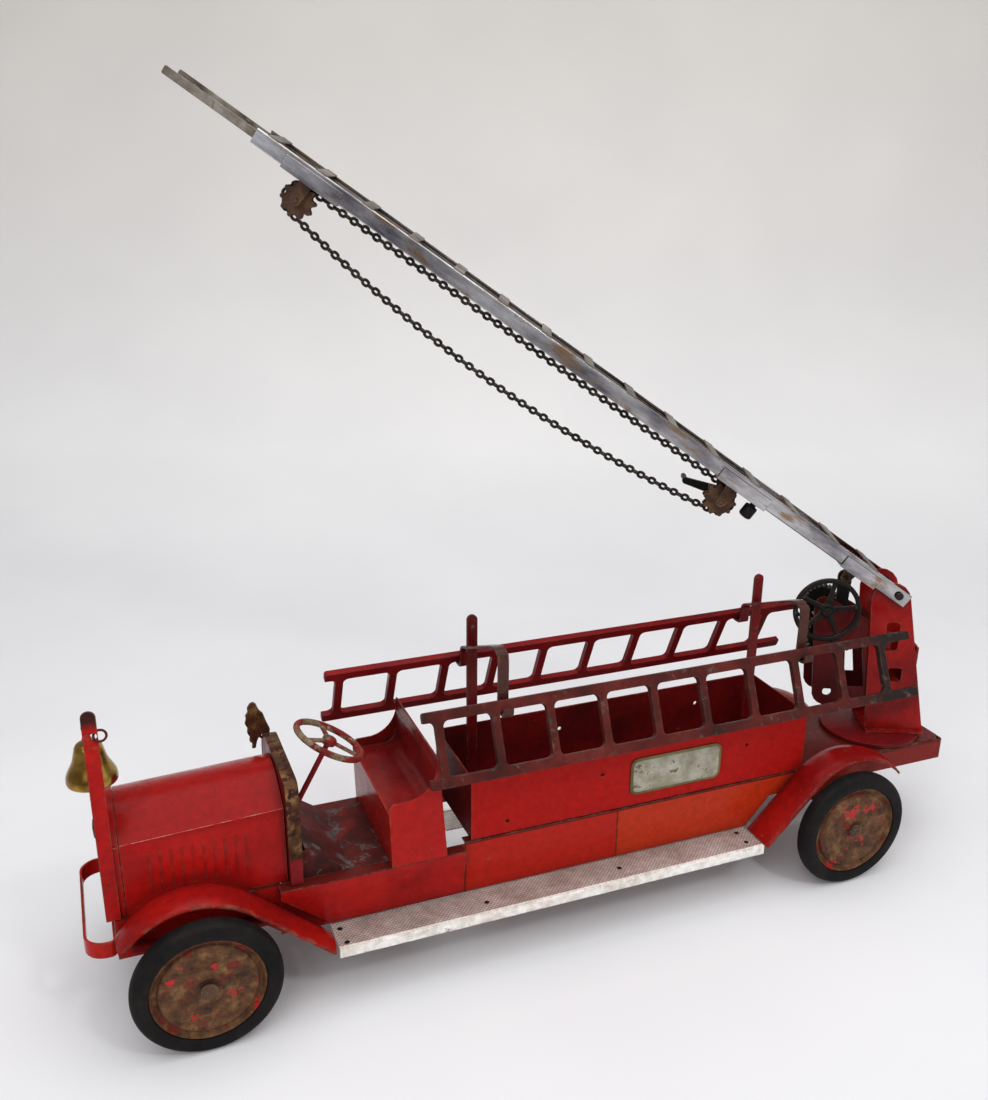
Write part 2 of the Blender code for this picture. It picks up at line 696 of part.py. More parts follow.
def axles(look):
    """Plain rods with riveted ends; the front one carries its pivot."""
    for label, x in (("front", FRONT_AXLE_X), ("rear", REAR_AXLE_X)):
        reach = WHEEL_FACE_Y + 0.0012
        made = piece(f"{label}_axle", rod((x, -reach, TYRE_RADIUS), (x, reach, TYRE_RADIUS), AXLE_RADIUS), look,
                     (x, 0.0, TYRE_RADIUS))
        ends = []
        for side in (-1, 1):
            start = (x, side * (WHEEL_FACE_Y - 0.0010), TYRE_RADIUS)
            head = [(0.0, 0.0), (0.0060, 0.0), (0.0060, 0.0016), (0.0035, 0.0030), (0.0, 0.0034)]
            ends.append(turned(head, (0.0, side, 0.0), start, 12))
            collar = [(0.0, 0.0), (0.0065, 0.0), (0.0065, 0.0040), (0.0, 0.0040)]
            start = (x, side * 0.0705, TYRE_RADIUS)
            ends.append(turned(collar, (0.0, side, 0.0), start, 12))
        if label == "front":
            beam = rounded_box((x - 0.0070, 0.0480), (x + 0.0070, 0.0620), 0.0030)
            ends.append(prism(beam, "XZ", -0.034, 0.034))
            ends.append(rod((x, 0.0, 0.060), (x, 0.0, 0.0775), 0.0032))
            ends.append(rod((x, 0.0, 0.0620), (x, 0.0, 0.0694), 0.0080))
        combine(made, "UNION", ends)


# Ladder bed, hangers and side ladders


def ladder_bed(look, plate_look):
    base = FRAME_TOP + GAP
    outer = block((BED_REAR_X, -BED_HALF, base), (BED_FRONT_X, BED_HALF, BED_TOP))
    bed = piece("ladder_bed", outer, look)
    inner = BED_HALF - SHEET
    hollow = block((BED_REAR_X + SHEET, -inner, base + SHEET), (BED_FRONT_X - SHEET, inner, BED_TOP + 0.01))
    holes = []
    for x, z in ((0.246, 0.108), (0.331, 0.1325), (0.4715, 0.133)):
        place = FRONT_AXLE_X - x
        holes.append(rod((place, -0.06, z), (place, 0.06, z), 0.0019, 8))
    combine(bed, "DIFFERENCE", [hollow, *holes])
    centre_x = FRONT_AXLE_X - 0.401
    plate = rounded_box((centre_x - 0.044, 0.1075), (centre_x + 0.044, 0.1415), 0.007)
    low_y = BED_HALF + GAP
    piece("side_plate_left", prism(plate, "XZ", low_y, low_y + 0.0010), plate_look)
    piece("side_plate_right", prism(plate, "XZ", -low_y - 0.0010, -low_y), plate_look)


def hook(side, top):
    """The end of a hanger's arm: down inside a ladder's rail, under it and up outside."""
    rail_y = SIDE_TOP.y
    inside = rail_y - 0.0056
    outside = rail_y + 0.0060
    low = SIDE_TOP.z - 0.0072
    points = [(inside, top), (inside, low + 0.0016), (inside + 0.0016, low)]
    points += [(outside - 0.0016, low), (outside, low + 0.0016), (outside, low + 0.0068)]
    return [(side * y, z) for y, z in points]


def hanger(label, x, look):
    """A post in the ladder bed, right of the middle, with an arm that ends in a hook each side."""
    post_y = -0.026
    half = 0.0045
    top = 0.2575
    base = FRAME_TOP + GAP + SHEET + GAP
    upright = [(x - half, base), (x + half, base), *arc((x, top), half, 0, 180, 6)]
    post = piece(f"ladder_hanger_{label}", prism(upright, "XZ", post_y - 0.0012, post_y + 0.0012), look)
    far = hook(-1, 0.2200)[::-1]
    near = hook(1, 0.2500)
    over = [(-0.0400, 0.2275), (-0.0260, 0.2330), (0.0180, 0.2520), (0.0320, 0.2570), (0.0390, 0.2555)]
    route = far + over + near
    arm = strap([(x, y, z, 1.0) for y, z in route], half - 0.0001, 0.0010)
    foot = block((x - 0.0080, post_y - 0.0090, base), (x + 0.0080, post_y + 0.0090, base + 0.0016))
    combine(post, "UNION", [arm, foot])


def side_ladder(label, side, front_x, look):
    """A cast ladder: two rails joined by ten rungs with rounded corners between them."""
    across = SIDE_TOP - SIDE_BOTTOM
    width = across.length
    half_rail = 0.0040
    half_thick = 0.0028
    rear_x = front_x - SIDE_LADDER_LENGTH
    # Drawn flat: X along the ladder, Y from the lower rail to the upper one.
    plate = [(rear_x, -half_rail), (front_x, -half_rail), (front_x, width + half_rail), (rear_x, width + half_rail)]
    cuts = []
    rungs = [front_x - 0.0125 - SIDE_RUNG_PITCH * i for i in range(10)]
    half_rung = 0.0033
    for start, end in zip(rungs[1:], rungs[:-1]):
        window = rounded_box((start + half_rung, half_rail), (end - half_rung, width - half_rail), 0.0045, 2)
        cuts.append(prism(window, "XY", -0.01, 0.01))
    ends = ((rungs[0] + half_rung, front_x + 0.02), (rear_x - 0.02, rungs[-1] - half_rung))
    for start, end in ends:
        window = rounded_box((start, half_rail), (end, width - half_rail), 0.0045, 2)
        cuts.append(prism(window, "XY", -0.01, 0.01))
    up = across.normalized()
    out = Vector((1.0, 0.0, 0.0)).cross(up)
    lay = Matrix((
        (1.0, 0.0, 0.0, 0.0),
        (0.0, up.y, out.y, SIDE_BOTTOM.y),
        (0.0, up.z, out.z, SIDE_BOTTOM.z),
        (0.0, 0.0, 0.0, 1.0),
    ))
    shapes = [prism(plate, "XY", -half_thick, half_thick), *cuts]
    for shape in shapes:
        bmesh.ops.transform(shape, matrix=lay, verts=shape.verts)
        if side < 0:
            mirrored(shape)
    middle = (front_x - SIDE_LADDER_LENGTH / 2, side * SIDE_TOP.y, SIDE_TOP.z)
    made = piece(f"side_ladder_{label}", shapes[0], look, middle)
    combine(made, "DIFFERENCE", shapes[1:])


# Turntable, tower and raising gear


def turntable(frame, look):
    base = FRAME_TOP + SHEET + GAP
    profile = [
        (0.0, 0.0850),
        (0.0050, 0.0850),
        (0.0050, base),
        (TURNTABLE_RADIUS, base),
        (TURNTABLE_RADIUS, base + 0.0035),
        (TURNTABLE_RADIUS - 0.0040, base + 0.0048),
        (0.0, base + 0.0048),
    ]
    piece("turntable", turned(profile, (0.0, 0.0, 1.0), (0.0, 0.0, 0.0), 48), look, parent=frame)
    return base + 0.0048 + GAP


def tower(frame, base, look):
    """Two tapered plates on a flanged foot, joined by a cross web."""
    top = (0.0018, 0.2360)
    outline = [(-0.0440, base), (0.0107, base), *arc(top, 0.0178, 5, 172, 8)]
    inner = TOWER_HALF - 0.0015
    near = prism(outline, "XZ", inner, TOWER_HALF)
    far = prism(outline, "XZ", -TOWER_HALF, -inner)
    made = piece("tower", merged([near, far]), look, parent=frame)
    foot = block((-0.0435, -TOWER_HALF - 0.0052, base), (0.0102, TOWER_HALF + 0.0052, base + 0.0015))
    web = block((-0.0300, -inner - 0.0005, 0.1400), (-0.0285, inner + 0.0005, 0.1900))
    combine(made, "UNION", [foot, web])
    windows = [
        rounded_box((-0.0100, 0.1865), (0.0025, 0.2150), 0.003, 2),
        rounded_box((-0.0170, 0.1550), (-0.0045, 0.1690), 0.002, 2),
    ]
    cuts = [prism(window, "XZ", -0.03, 0.03) for window in windows]
    pin_hole = rod(PIVOT + Vector((0, -0.03, 0)), PIVOT + Vector((0, 0.03, 0)), 0.0034)
    combine(made, "DIFFERENCE", [*cuts, pin_hole])
    pin = [
        (0.0, -0.0285),
        (0.0050, -0.0285),
        (0.0050, -0.0268),
        (0.0030, -0.0268),
        (0.0030, 0.0268),
        (0.0050, 0.0268),
        (0.0050, 0.0285),
        (0.0, 0.0285),
    ]
    piece("ladder_pivot_pin", turned(pin, (0.0, 1.0, 0.0), PIVOT, 16), look, PIVOT, frame)


def gear_frame(frame, look):
    """Two cheeks that reach forward from the tower and carry the hand wheel's and the gear's shafts."""
    inner = TOWER_HALF - 0.0015 - GAP
    wheel_x, wheel_z = HAND_WHEEL_AXIS.x, HAND_WHEEL_AXIS.z
    boss = (0.0495, 0.1424)
    outline = [
        (-0.0040, 0.1270),
        *arc(boss, 0.0140, 265, 345, 4),
        *arc((wheel_x, wheel_z), 0.0090, 345, 470, 5),
        (0.0150, 0.2140),
        (-0.0040, 0.2030),
    ]
    cheeks = merged([
        prism(outline, "XZ", inner - 0.0015, inner),
        prism(outline, "XZ", -inner, 0.0015 - inner),
    ])
    made = piece("gear_frame", cheeks, look, parent=frame)
    spacers = [
        rod((0.0300, 0.0010 - inner, 0.1360), (0.0300, inner - 0.0010, 0.1360), 0.0030, 12),
        rod((0.0120, 0.0010 - inner, 0.1980), (0.0120, inner - 0.0010, 0.1980), 0.0030, 12),
    ]
    combine(made, "UNION", spacers)
    window = [(0.0160, 0.1480), (0.0340, 0.1480), (0.0380, 0.1930), (0.0220, 0.1900)]
    cuts = [prism(window, "XZ", -0.03, 0.03)]
    for centre, radius in ((HAND_WHEEL_AXIS, 0.0029), (GEAR_AXIS, 0.0029), (Vector((boss[0], 0, boss[1])), 0.0042)):
        cuts.append(rod(centre + Vector((0, -0.03, 0)), centre + Vector((0, 0.03, 0)), radius))
    combine(made, "DIFFERENCE", cuts)


def gear_outline(centre, teeth, start):
    """A spur gear's outline with straight-sided teeth, the first at the angle start."""
    pitch_radius = GEAR_MODULE * teeth / 2
    root = pitch_radius - 1.25 * GEAR_MODULE
    tip = pitch_radius + 0.85 * GEAR_MODULE
    outline = []
    for tooth in range(teeth):
        middle = start + 360 * tooth / teeth
        for share, radius in ((-0.27, root), (-0.10, tip), (0.10, tip), (0.27, root)):
            angle = math.radians(middle + share * 360 / teeth)
            outline.append((centre.x + radius * math.cos(angle), centre.z + radius * math.sin(angle)))
    return outline


def raising_gear(frame, gear_look, wheel_look):
    """The hand wheel with its pinion's shaft, and the gear that the pinion turns."""
    toward = GEAR_AXIS - HAND_WHEEL_AXIS
    heading = math.degrees(math.atan2(toward.z, toward.x))
    pinion = gear_outline(HAND_WHEEL_AXIS, PINION_TEETH, heading)
    shaft = piece("pinion_shaft", prism(pinion, "XZ", -0.0035, 0.0035), gear_look, HAND_WHEEL_AXIS, frame)
    reach = Vector((0, 0.0330, 0))
    combine(shaft, "UNION", [rod(HAND_WHEEL_AXIS - Vector((0, 0.0205, 0)), HAND_WHEEL_AXIS + reach, 0.0026, 14)])
    mesh_turn = heading + 180 + 180 / GEAR_TEETH
    wheel_gear = gear_outline(GEAR_AXIS, GEAR_TEETH, mesh_turn)
    gear = piece("raising_gear", prism(wheel_gear, "XZ", -0.0030, 0.0030), gear_look, GEAR_AXIS, frame)
    hub = rod(GEAR_AXIS - Vector((0, 0.0050, 0)), GEAR_AXIS + Vector((0, 0.0050, 0)), 0.0065, 16)
    axle = rod(GEAR_AXIS - Vector((0, 0.0205, 0)), GEAR_AXIS + Vector((0, 0.0205, 0)), 0.0026, 14)
    combine(gear, "UNION", [hub, axle])
    hand_wheel(frame, wheel_look)


def hand_wheel(frame, look):
    centre = HAND_WHEEL_AXIS + Vector((0.0, 0.0285, 0.0))
    rim = [(0.0262, -0.0016), (0.0262, 0.0016), (0.0306, 0.0016), (0.0306, -0.0016)]
    made = piece("hand_wheel", turned(rim, (0, 1, 0), centre, 40, closed=True), look, HAND_WHEEL_AXIS, frame)
    hub = rod(centre - Vector((0, 0.0024, 0)), centre + Vector((0, 0.0030, 0)), 0.0068, 16)
    adds = [hub]
    for turn in range(5):
        angle = math.radians(100 + 72 * turn)
        reach = Vector((math.cos(angle), 0.0, math.sin(angle)))
        side = Vector((-reach.z, 0.0, reach.x))
        corners = []
        for distance, half in ((0.0055, 0.0030), (0.0268, 0.0019)):
            corners.append((centre + reach * distance + side * half, centre + reach * distance - side * half))
        outline = [(corners[0][0].x, corners[0][0].z), (corners[1][0].x, corners[1][0].z)]
        outline += [(corners[1][1].x, corners[1][1].z), (corners[0][1].x, corners[0][1].z)]
        adds.append(prism(outline, "XZ", centre.y - 0.0013, centre.y + 0.0013))
    peg = centre + Vector((0.0284, 0.0, -0.0010))
    adds.append(rod(peg, peg + Vector((0.0, 0.0120, 0.0)), 0.0020, 12))
    combine(made, "UNION", adds)
    shaft_hole = rod(centre - Vector((0, 0.01, 0)), centre + Vector((0, 0.01, 0)), 0.0026 + GAP, 14)
    combine(made, "DIFFERENCE", [shaft_hole])


# Aerial ladder, drawn in the ladder's own frame


def rail_section(side):
    """A channel open toward the middle of the ladder, in plane YZ."""
    outer = RAIL_HALF
    web = RAIL_HALF - SHEET
    lip = 0.0212
    points = [
        (lip, RAIL_BOTTOM),
        (outer, RAIL_BOTTOM),
        (outer, RAIL_TOP),
        (lip, RAIL_TOP),
        (lip, RAIL_TOP - SHEET),
        (web, RAIL_TOP - SHEET),
        (web, RAIL_BOTTOM + SHEET),
        (lip, RAIL_BOTTOM + SHEET),
    ]
    return [(side * y, z) for y, z in points]


def main_ladder(frame, look):
    start = -0.0105
    rails = merged([prism(rail_section(side), "YZ", start, LADDER_TIP) for side in (-1, 1)])
    made = piece("main_ladder", rails, look, parent=frame)
    rungs = []
    for i in range(15):
        middle = 0.0345 + RUNG_PITCH * i
        low = (middle - 0.0050, -0.0246, RAIL_TOP - 0.0005)
        rungs.append(block(low, (middle + 0.0050, 0.0246, RAIL_TOP + 0.0008)))
    combine(made, "UNION", [merged(rungs)])
    hole = rod((0.0, -0.03, 0.0), (0.0, 0.03, 0.0), 0.0033)
    combine(made, "DIFFERENCE", [hole])


def extension_ladder(frame, look):
    start, end = 0.181, 0.772
    rails = [block((start, -0.0202, -0.0035), (end, -0.0172, 0.0035))]
    rails.append(block((start, 0.0172, -0.0035), (end, 0.0202, 0.0035)))
    made = piece("extension_ladder", merged(rails), look, parent=frame)
    rungs = []
    for i in range(13):
        middle = end - 0.020 - RUNG_PITCH * i
        rungs.append(block((middle - 0.0035, -0.0178, -0.0010), (middle + 0.0035, 0.0178, 0.0010)))
    combine(made, "UNION", [merged(rungs)])
    last = end - 0.020 - RUNG_PITCH * 11
    catch = block((last - 0.0030, -0.0030, -0.0104), (last + 0.0030, 0.0030, 0.0005))
    combine(made, "UNION", [catch])


def saddle(name, frame, start, end, ears, look):
    """A plate under both rails with its edges turned up outside them, and ears for a shaft."""
    top = RAIL_BOTTOM - GAP
    low = top - 0.0015
    side_in = RAIL_HALF + GAP
    side_out = side_in + SHEET
    section = [(side_out, low), (side_out, 0.0030), (side_in, 0.0030), (side_in, top)]
    section += [(-y, z) for y, z in section[::-1]]
    made = piece(name, prism(section, "YZ", start, end), look, parent=frame)
    adds = []
    cuts = []
    for offset, centre, radius, hole in ears:
        foot = centre[0] - radius * 1.6, centre[0] + radius * 1.6
        outline = [(foot[0], low + 0.0005), *arc(centre, radius, 180, 360, 6), (foot[1], low + 0.0005)]
        adds.append(prism(outline, "XZ", offset - 0.0008, offset + 0.0008))
        place = Vector((centre[0], offset, centre[1]))
        cuts.append(rod(place - Vector((0, 0.004, 0)), place + Vector((0, 0.004, 0)), hole, 14))
    combine(made, "UNION", adds)
    combine(made, "DIFFERENCE", cuts)
    return made


def sprocket_outline(centre, teeth):
    """A toothed disc's outline: round roots between blunt teeth."""
    outline = []
    for i in range(teeth * 4):
        angle = 2 * math.pi * i / (teeth * 4)
        radius = (0.0118, 0.0134, 0.0156, 0.0134)[i % 4]
        outline.append((centre.x + radius * math.cos(angle), centre.z + radius * math.sin(angle)))
    return outline


def sprocket(label, frame, look):
    """A drum between two toothed discs, on its shaft."""
    centre = SPROCKETS[label]
    gap = CHAIN_HALF_WIDTH + 0.0005
    discs = [prism(sprocket_outline(centre, 10), "XZ", side * gap, side * (gap + 0.0016)) for side in (-1, 1)]
    made = piece(f"sprocket_{label}", merged(discs), look, centre, frame)
    drum = rod(centre - Vector((0, gap + 0.0012, 0)), centre + Vector((0, gap + 0.0012, 0)), 0.0106, 24)
    reach = 0.0320 if label == "lower" else 0.0130
    shaft = rod(centre - Vector((0, reach, 0)), centre + Vector((0, 0.0130, 0)), 0.0021, 12)
    combine(made, "UNION", [drum, shaft])


def crank(frame, look):
    """The crank on the lower sprocket's shaft, right of the ladder."""
    centre = SPROCKETS["lower"]
    plane = -0.0300
    hole = centre + Vector((0.0, plane, 0.0))
    reach = Vector((0.0275, 0.0, -0.0085))
    grip = hole + reach
    angle = math.degrees(math.atan2(reach.z, reach.x))
    outline = arc((grip.x, grip.z), 0.0032, angle - 90, angle + 90, 4)
    outline += arc((hole.x, hole.z), 0.0048, angle + 90, angle + 270, 6)
    made = piece("crank_handle", prism(outline, "XZ", plane - 0.0010, plane + 0.0010), look, centre, frame)
    combine(made, "UNION", [rod(grip, grip - Vector((0.0, 0.0200, 0.0)), 0.0026, 12)])
    shaft = rod(hole - Vector((0, 0.005, 0)), hole + Vector((0, 0.005, 0)), 0.0021 + GAP, 12)
    combine(made, "DIFFERENCE", [shaft])


def chain_route():
    """The chain's centre line in the ladder's XZ plane: over both sprockets, taut above and hanging below."""
    low, high = SPROCKETS["lower"], SPROCKETS["upper"]
    sag = math.degrees(CHAIN_SAG_ANGLE)
    route = arc((low.x, low.z), CHAIN_RADIUS, 270 - sag, 90, 10)
    route += [(low.x + (high.x - low.x) * i / 6, low.z + CHAIN_RADIUS) for i in range(1, 6)]
    route += arc((high.x, high.z), CHAIN_RADIUS, 90, -90 + sag, 10)
    start = Vector(route[-1])
    span = Vector(route[0]) - start
    depth = span.length * math.tan(CHAIN_SAG_ANGLE) / 4
    steps = 18
    for i in range(1, steps):
        share = i / steps
        point = start + span * share
        route.append((point.x, point.y - depth * 4 * share * (1 - share)))
    return route


def drive_chain(frame, look):
    route = chain_route()
    loops = []
    for i, point in enumerate(route):
        run = (Vector(route[(i + 1) % len(route)]) - Vector(route[i - 1])).normalized()
        out = Vector((-run.y, run.x)) * CHAIN_HALF_HEIGHT
        wide = CHAIN_HALF_WIDTH
        outer = (point[0] + out.x, point[1] + out.y)
        inner = (point[0] - out.x, point[1] - out.y)
        loops.append([
            (outer[0], -wide, outer[1]),
            (outer[0], wide, outer[1]),
            (inner[0], wide, inner[1]),
            (inner[0], -wide, inner[1]),
        ])
    piece("drive_chain", loft(loops, ring=True), look, parent=frame)


def lift_link(frame, look):
    """The strut from the ladder's lug down toward the gear."""
    tip = math.radians(0) - LADDER_RAISE
    # The strut hangs plumb, so in the ladder's frame it leans back by the ladder's angle.
    down = Vector((-math.sin(-tip), 0.0, -math.cos(tip))) if tip else Vector((0, 0, -1))
    end = LIFT_LUG + down * LIFT_LINK_LENGTH
    angle = math.degrees(math.atan2(down.z, down.x))
    outline = arc((end.x, end.z), 0.0048, angle - 90, angle + 90, 5)
    outline += arc((LIFT_LUG.x, LIFT_LUG.z), 0.0065, angle + 90, angle + 270, 7)
    made = piece("lift_link", prism(outline, "XZ", 0.0065, 0.0088), look, LIFT_LUG, frame)
    pin = rod(LIFT_LUG + Vector((0, 0.0060, 0)), LIFT_LUG + Vector((0, 0.0140, 0)), 0.0022, 12)
    combine(made, "UNION", [pin])
    eye = Vector((end.x, 0.0077, end.z))
    combine(made, "DIFFERENCE", [rod(eye - Vector((0, 0.005, 0)), eye + Vector((0, 0.005, 0)), 0.0020, 10)])


def stop_knob(frame, look):
    """A thumb screw under the lower bracket."""
    top = Vector((0.1570, 0.0120, RAIL_BOTTOM - GAP - 0.0015 - GAP))
    profile = [
        (0.0, 0.0),
        (0.0030, 0.0),
        (0.0030, -0.0030),
        (0.0062, -0.0042),
        (0.0062, -0.0140),
        (0.0050, -0.0155),
        (0.0, -0.0155),
    ]
    piece("stop_knob", turned(profile, (0.0, 0.0, 1.0), top, 6), look, top, frame)


def build():
    clear_scene()
    vehicle = turned_frame("vehicle", CENTRE_LINE, "Z", 0.0, None)
    red = material("red_enamel", (0.35, 0.008, 0.006), 0.35, 0.0)
    dark_red = material("dark_red_enamel", (0.16, 0.010, 0.010), 0.45, 0.0)
    worn = material("worn_floor", (0.10, 0.030, 0.028), 0.7, 0.2)
    tread = material("nickel_tread", (0.40, 0.35, 0.32), 0.45, 0.7)
    brass = material("bell_brass", (0.35, 0.24, 0.06), 0.35, 1.0)
    plated = material("ladder_plating", (0.45, 0.44, 0.43), 0.3, 1.0)
    black = material("blackened_steel", (0.015, 0.013, 0.012), 0.5, 0.6)
    rust = material("rusted_steel", (0.12, 0.055, 0.025), 0.75, 0.3)
    rubber = material("tyre_rubber", (0.012, 0.012, 0.011), 0.75, 0.0)
    cream = material("cream_plate", (0.45, 0.43, 0.33), 0.5, 0.0)
    faded = material("faded_ladder_paint", (0.15, 0.035, 0.028), 0.55, 0.0)

    chassis(red)
    bumper(dark_red)
    springs(dark_red)
    front_path = fender_path(FRONT_AXLE_X + 0.005, 34, BOARD_TOP, FRONT_AXLE_X - 0.0968, 131.5, 1)
    rear_path = fender_path(REAR_AXLE_X - 0.008, 41, BOARD_TOP, FRONT_AXLE_X - 0.4762, 138, -1)
    for label, side in (("left", 1), ("right", -1)):
        fender(f"fender_front_{label}", red, front_path, side)
        fender(f"fender_rear_{label}", red, rear_path, side)
        running_board(f"running_board_{label}", tread, side)
    bonnet(red)
    radiator(red, black, black)
    bell_strap(red)
    bell(brass, black, black)
    cab_floor(worn)
    dash(dark_red, black)
    seat(red)
    steering(dark_red, dark_red)
    for end, x in (("front", FRONT_AXLE_X), ("rear", REAR_AXLE_X)):
        for label, side in (("left", 1), ("right", -1)):
            wheel(f"{end}_{label}", x, side, rust, rubber)
    axles(rust)
    ladder_bed(red, cream)
    for label, x in HANGERS_X.items():
        hanger(label, x, dark_red)
    side_ladder("left", 1, FRONT_AXLE_X - 0.173, faded)
    side_ladder("right", -1, FRONT_AXLE_X - 0.122, dark_red)

    table = turned_frame("turntable_frame", (TURNTABLE_X, 0.0, 0.0), "Z", TURNTABLE_YAW, vehicle)
    base = turntable(table, dark_red)
    tower(table, base, red)
    gear_frame(table, dark_red)
    raising_gear(table, black, black)
    ladder = turned_frame("ladder_frame", PIVOT, "Y", -LADDER_RAISE, table)
    main_ladder(ladder, plated)
    extension_ladder(ladder, plated)
    saddle("lift_bracket", ladder, 0.023, 0.062, [(0.0115, (LIFT_LUG.x, LIFT_LUG.z), 0.0065, 0.0025)], plated)
    for label, start, end in (("lower", 0.1500, 0.2030), ("upper", 0.6005, 0.6550)):
        centre = SPROCKETS[label]
        ears = [(side * 0.0115, (centre.x, centre.z), 0.0070, 0.0024) for side in (-1, 1)]
        saddle(f"sprocket_bracket_{label}", ladder, start, end, ears, plated)
        sprocket(label, ladder, rust)
    crank(ladder, black)
    drive_chain(ladder, black)
    lift_link(ladder, black)
    stop_knob(ladder, black)


build()
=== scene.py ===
import math

import bmesh
import bpy
from mathutils import Matrix, Vector


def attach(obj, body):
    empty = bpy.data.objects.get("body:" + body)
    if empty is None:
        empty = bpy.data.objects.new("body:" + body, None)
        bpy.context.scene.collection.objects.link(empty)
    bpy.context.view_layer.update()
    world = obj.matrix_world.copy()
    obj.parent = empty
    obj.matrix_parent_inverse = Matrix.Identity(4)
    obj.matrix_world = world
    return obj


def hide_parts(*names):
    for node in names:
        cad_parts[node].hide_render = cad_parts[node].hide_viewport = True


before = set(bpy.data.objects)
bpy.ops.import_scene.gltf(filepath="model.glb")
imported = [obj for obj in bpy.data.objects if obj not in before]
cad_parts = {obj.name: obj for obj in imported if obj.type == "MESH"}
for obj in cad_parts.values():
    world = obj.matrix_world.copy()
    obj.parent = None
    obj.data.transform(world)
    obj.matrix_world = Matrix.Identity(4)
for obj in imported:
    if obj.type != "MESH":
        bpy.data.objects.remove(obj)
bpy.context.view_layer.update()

# Where things stand, in metres. Each frame is the one that its pieces are drawn in.
layout = {
    "centreLine": (0.0004, 0.0931, 0.0), "frontAxle": 0.307, "rearAxle": -0.254,
    "turntable": -0.3366, "turntableYaw": math.radians(-24.3), "pivot": (-0.00285, 0.0, 0.2432),
    "ladderRaise": math.radians(34.26),
}
home = Matrix.Translation(layout["centreLine"])
table = home @ Matrix.Translation((layout["turntable"], 0, 0)) @ Matrix.Rotation(layout["turntableYaw"], 4,
                                                                                 "Z")
ladder = table @ Matrix.Translation(layout["pivot"]) @ Matrix.Rotation(-layout["ladderRaise"], 4, "Y")
front = layout["frontAxle"]
rear = layout["rearAxle"]


# Outlines

def arcPoints(centre, radius, start, end, steps):
    turns = [math.radians(start + (end - start) * i / steps) for i in range(steps + 1)]
    return [(centre[0] + radius * math.cos(a), centre[1] + radius * math.sin(a)) for a in turns]


def roundedBox(low, high, radius, steps=5):
    corners = [
        ((high[0] - radius, high[1] - radius), 0),
        ((low[0] + radius, high[1] - radius), 90),
        ((low[0] + radius, low[1] + radius), 180),
        ((high[0] - radius, low[1] + radius), 270),
    ]
    return [p for centre, turn in corners for p in arcPoints(centre, radius, turn, turn + 90, steps)]


# Shapes

def loft(loops, ring=False):
    shape = bmesh.new()
    rows = [[shape.verts.new(p) for p in loop] for loop in loops]
    pairs = list(zip(rows, rows[1:]))
    if ring:
        pairs.append((rows[-1], rows[0]))
    for first, second in pairs:
        for i in range(len(first)):
            j = (i + 1) % len(first)
            shape.faces.new((first[i], first[j], second[j], second[i]))
    if not ring:
        shape.faces.new(rows[0])
        shape.faces.new(rows[-1])
    bmesh.ops.recalc_face_normals(shape, faces=shape.faces)
    return shape


def prism(outline, plane, start, end):
    place = {
        "XY": lambda p, d: (p[0], p[1], d), "XZ": lambda p, d: (p[0], d, p[1]),
        "YZ": lambda p, d: (d, p[0], p[1]),
    }[plane]
    return loft([[place(p, start) for p in outline], [place(p, end) for p in outline]])


def block(low, high):
    return prism([(low[0], low[1]), (high[0], low[1]), (high[0], high[1]), (low[0], high[1])], "XY", low[2],
                 high[2])


def facing(axis, origin):
    turn = Vector((0, 0, 1)).rotation_difference(Vector(axis).normalized()).to_matrix().to_4x4()
    return Matrix.Translation(origin) @ turn


def turned(profile, axis, origin, sides, closed=False):
    place = facing(axis, origin)
    shape = bmesh.new()
    rows = []
    for radius, height in profile:
        if radius == 0:
            rows.append([shape.verts.new(place @ Vector((0, 0, height)))] * sides)
            continue
        turns = [2 * math.pi * i / sides for i in range(sides)]
        row = [place @ Vector((radius * math.cos(a), radius * math.sin(a), height)) for a in turns]
        rows.append([shape.verts.new(p) for p in row])
    pairs = list(zip(rows, rows[1:]))
    if closed:
        pairs.append((rows[-1], rows[0]))
    for first, second in pairs:
        for i in range(sides):
            j = (i + 1) % sides
            corners = list(dict.fromkeys((first[i], first[j], second[j], second[i])))
            if len(corners) > 2:
                shape.faces.new(corners)
    bmesh.ops.recalc_face_normals(shape, faces=shape.faces)
    return shape


def rod(start, end, radius, sides=24, ease=0.0):
    run = Vector(end) - Vector(start)
    length = run.length
    profile = [(0, 0), (radius - ease, 0), (radius, ease), (radius, length - ease), (radius - ease, length),
               (0, length)]
    if not ease:
        profile = [(0, 0), (radius, 0), (radius, length), (0, length)]
    return turned(profile, run, start, sides)


def hoop(centre, axis, radius, thickness, sides=48, section=12):
    profile = arcPoints((radius, 0), thickness, 0, 360 - 360 / section, section - 1)
    return turned(profile, axis, centre, sides, closed=True)


def sweptStrap(path, halfWidth, halfThickness):
    loops = []
    for i, (x, y, z, share) in enumerate(path):
        before = Vector(path[max(i - 1, 0)][1:3])
        after = Vector(path[min(i + 1, len(path) - 1)][1:3])
        run = (after - before).normalized()
        side = Vector((-run.y, run.x)) * halfThickness
        wide = halfWidth * share
        corners = [(-wide, -1), (wide, -1), (wide, 1), (-wide, 1)]
        loops.append([(x + w, y + side.x * s, z + side.y * s) for w, s in corners])
    return loft(loops)


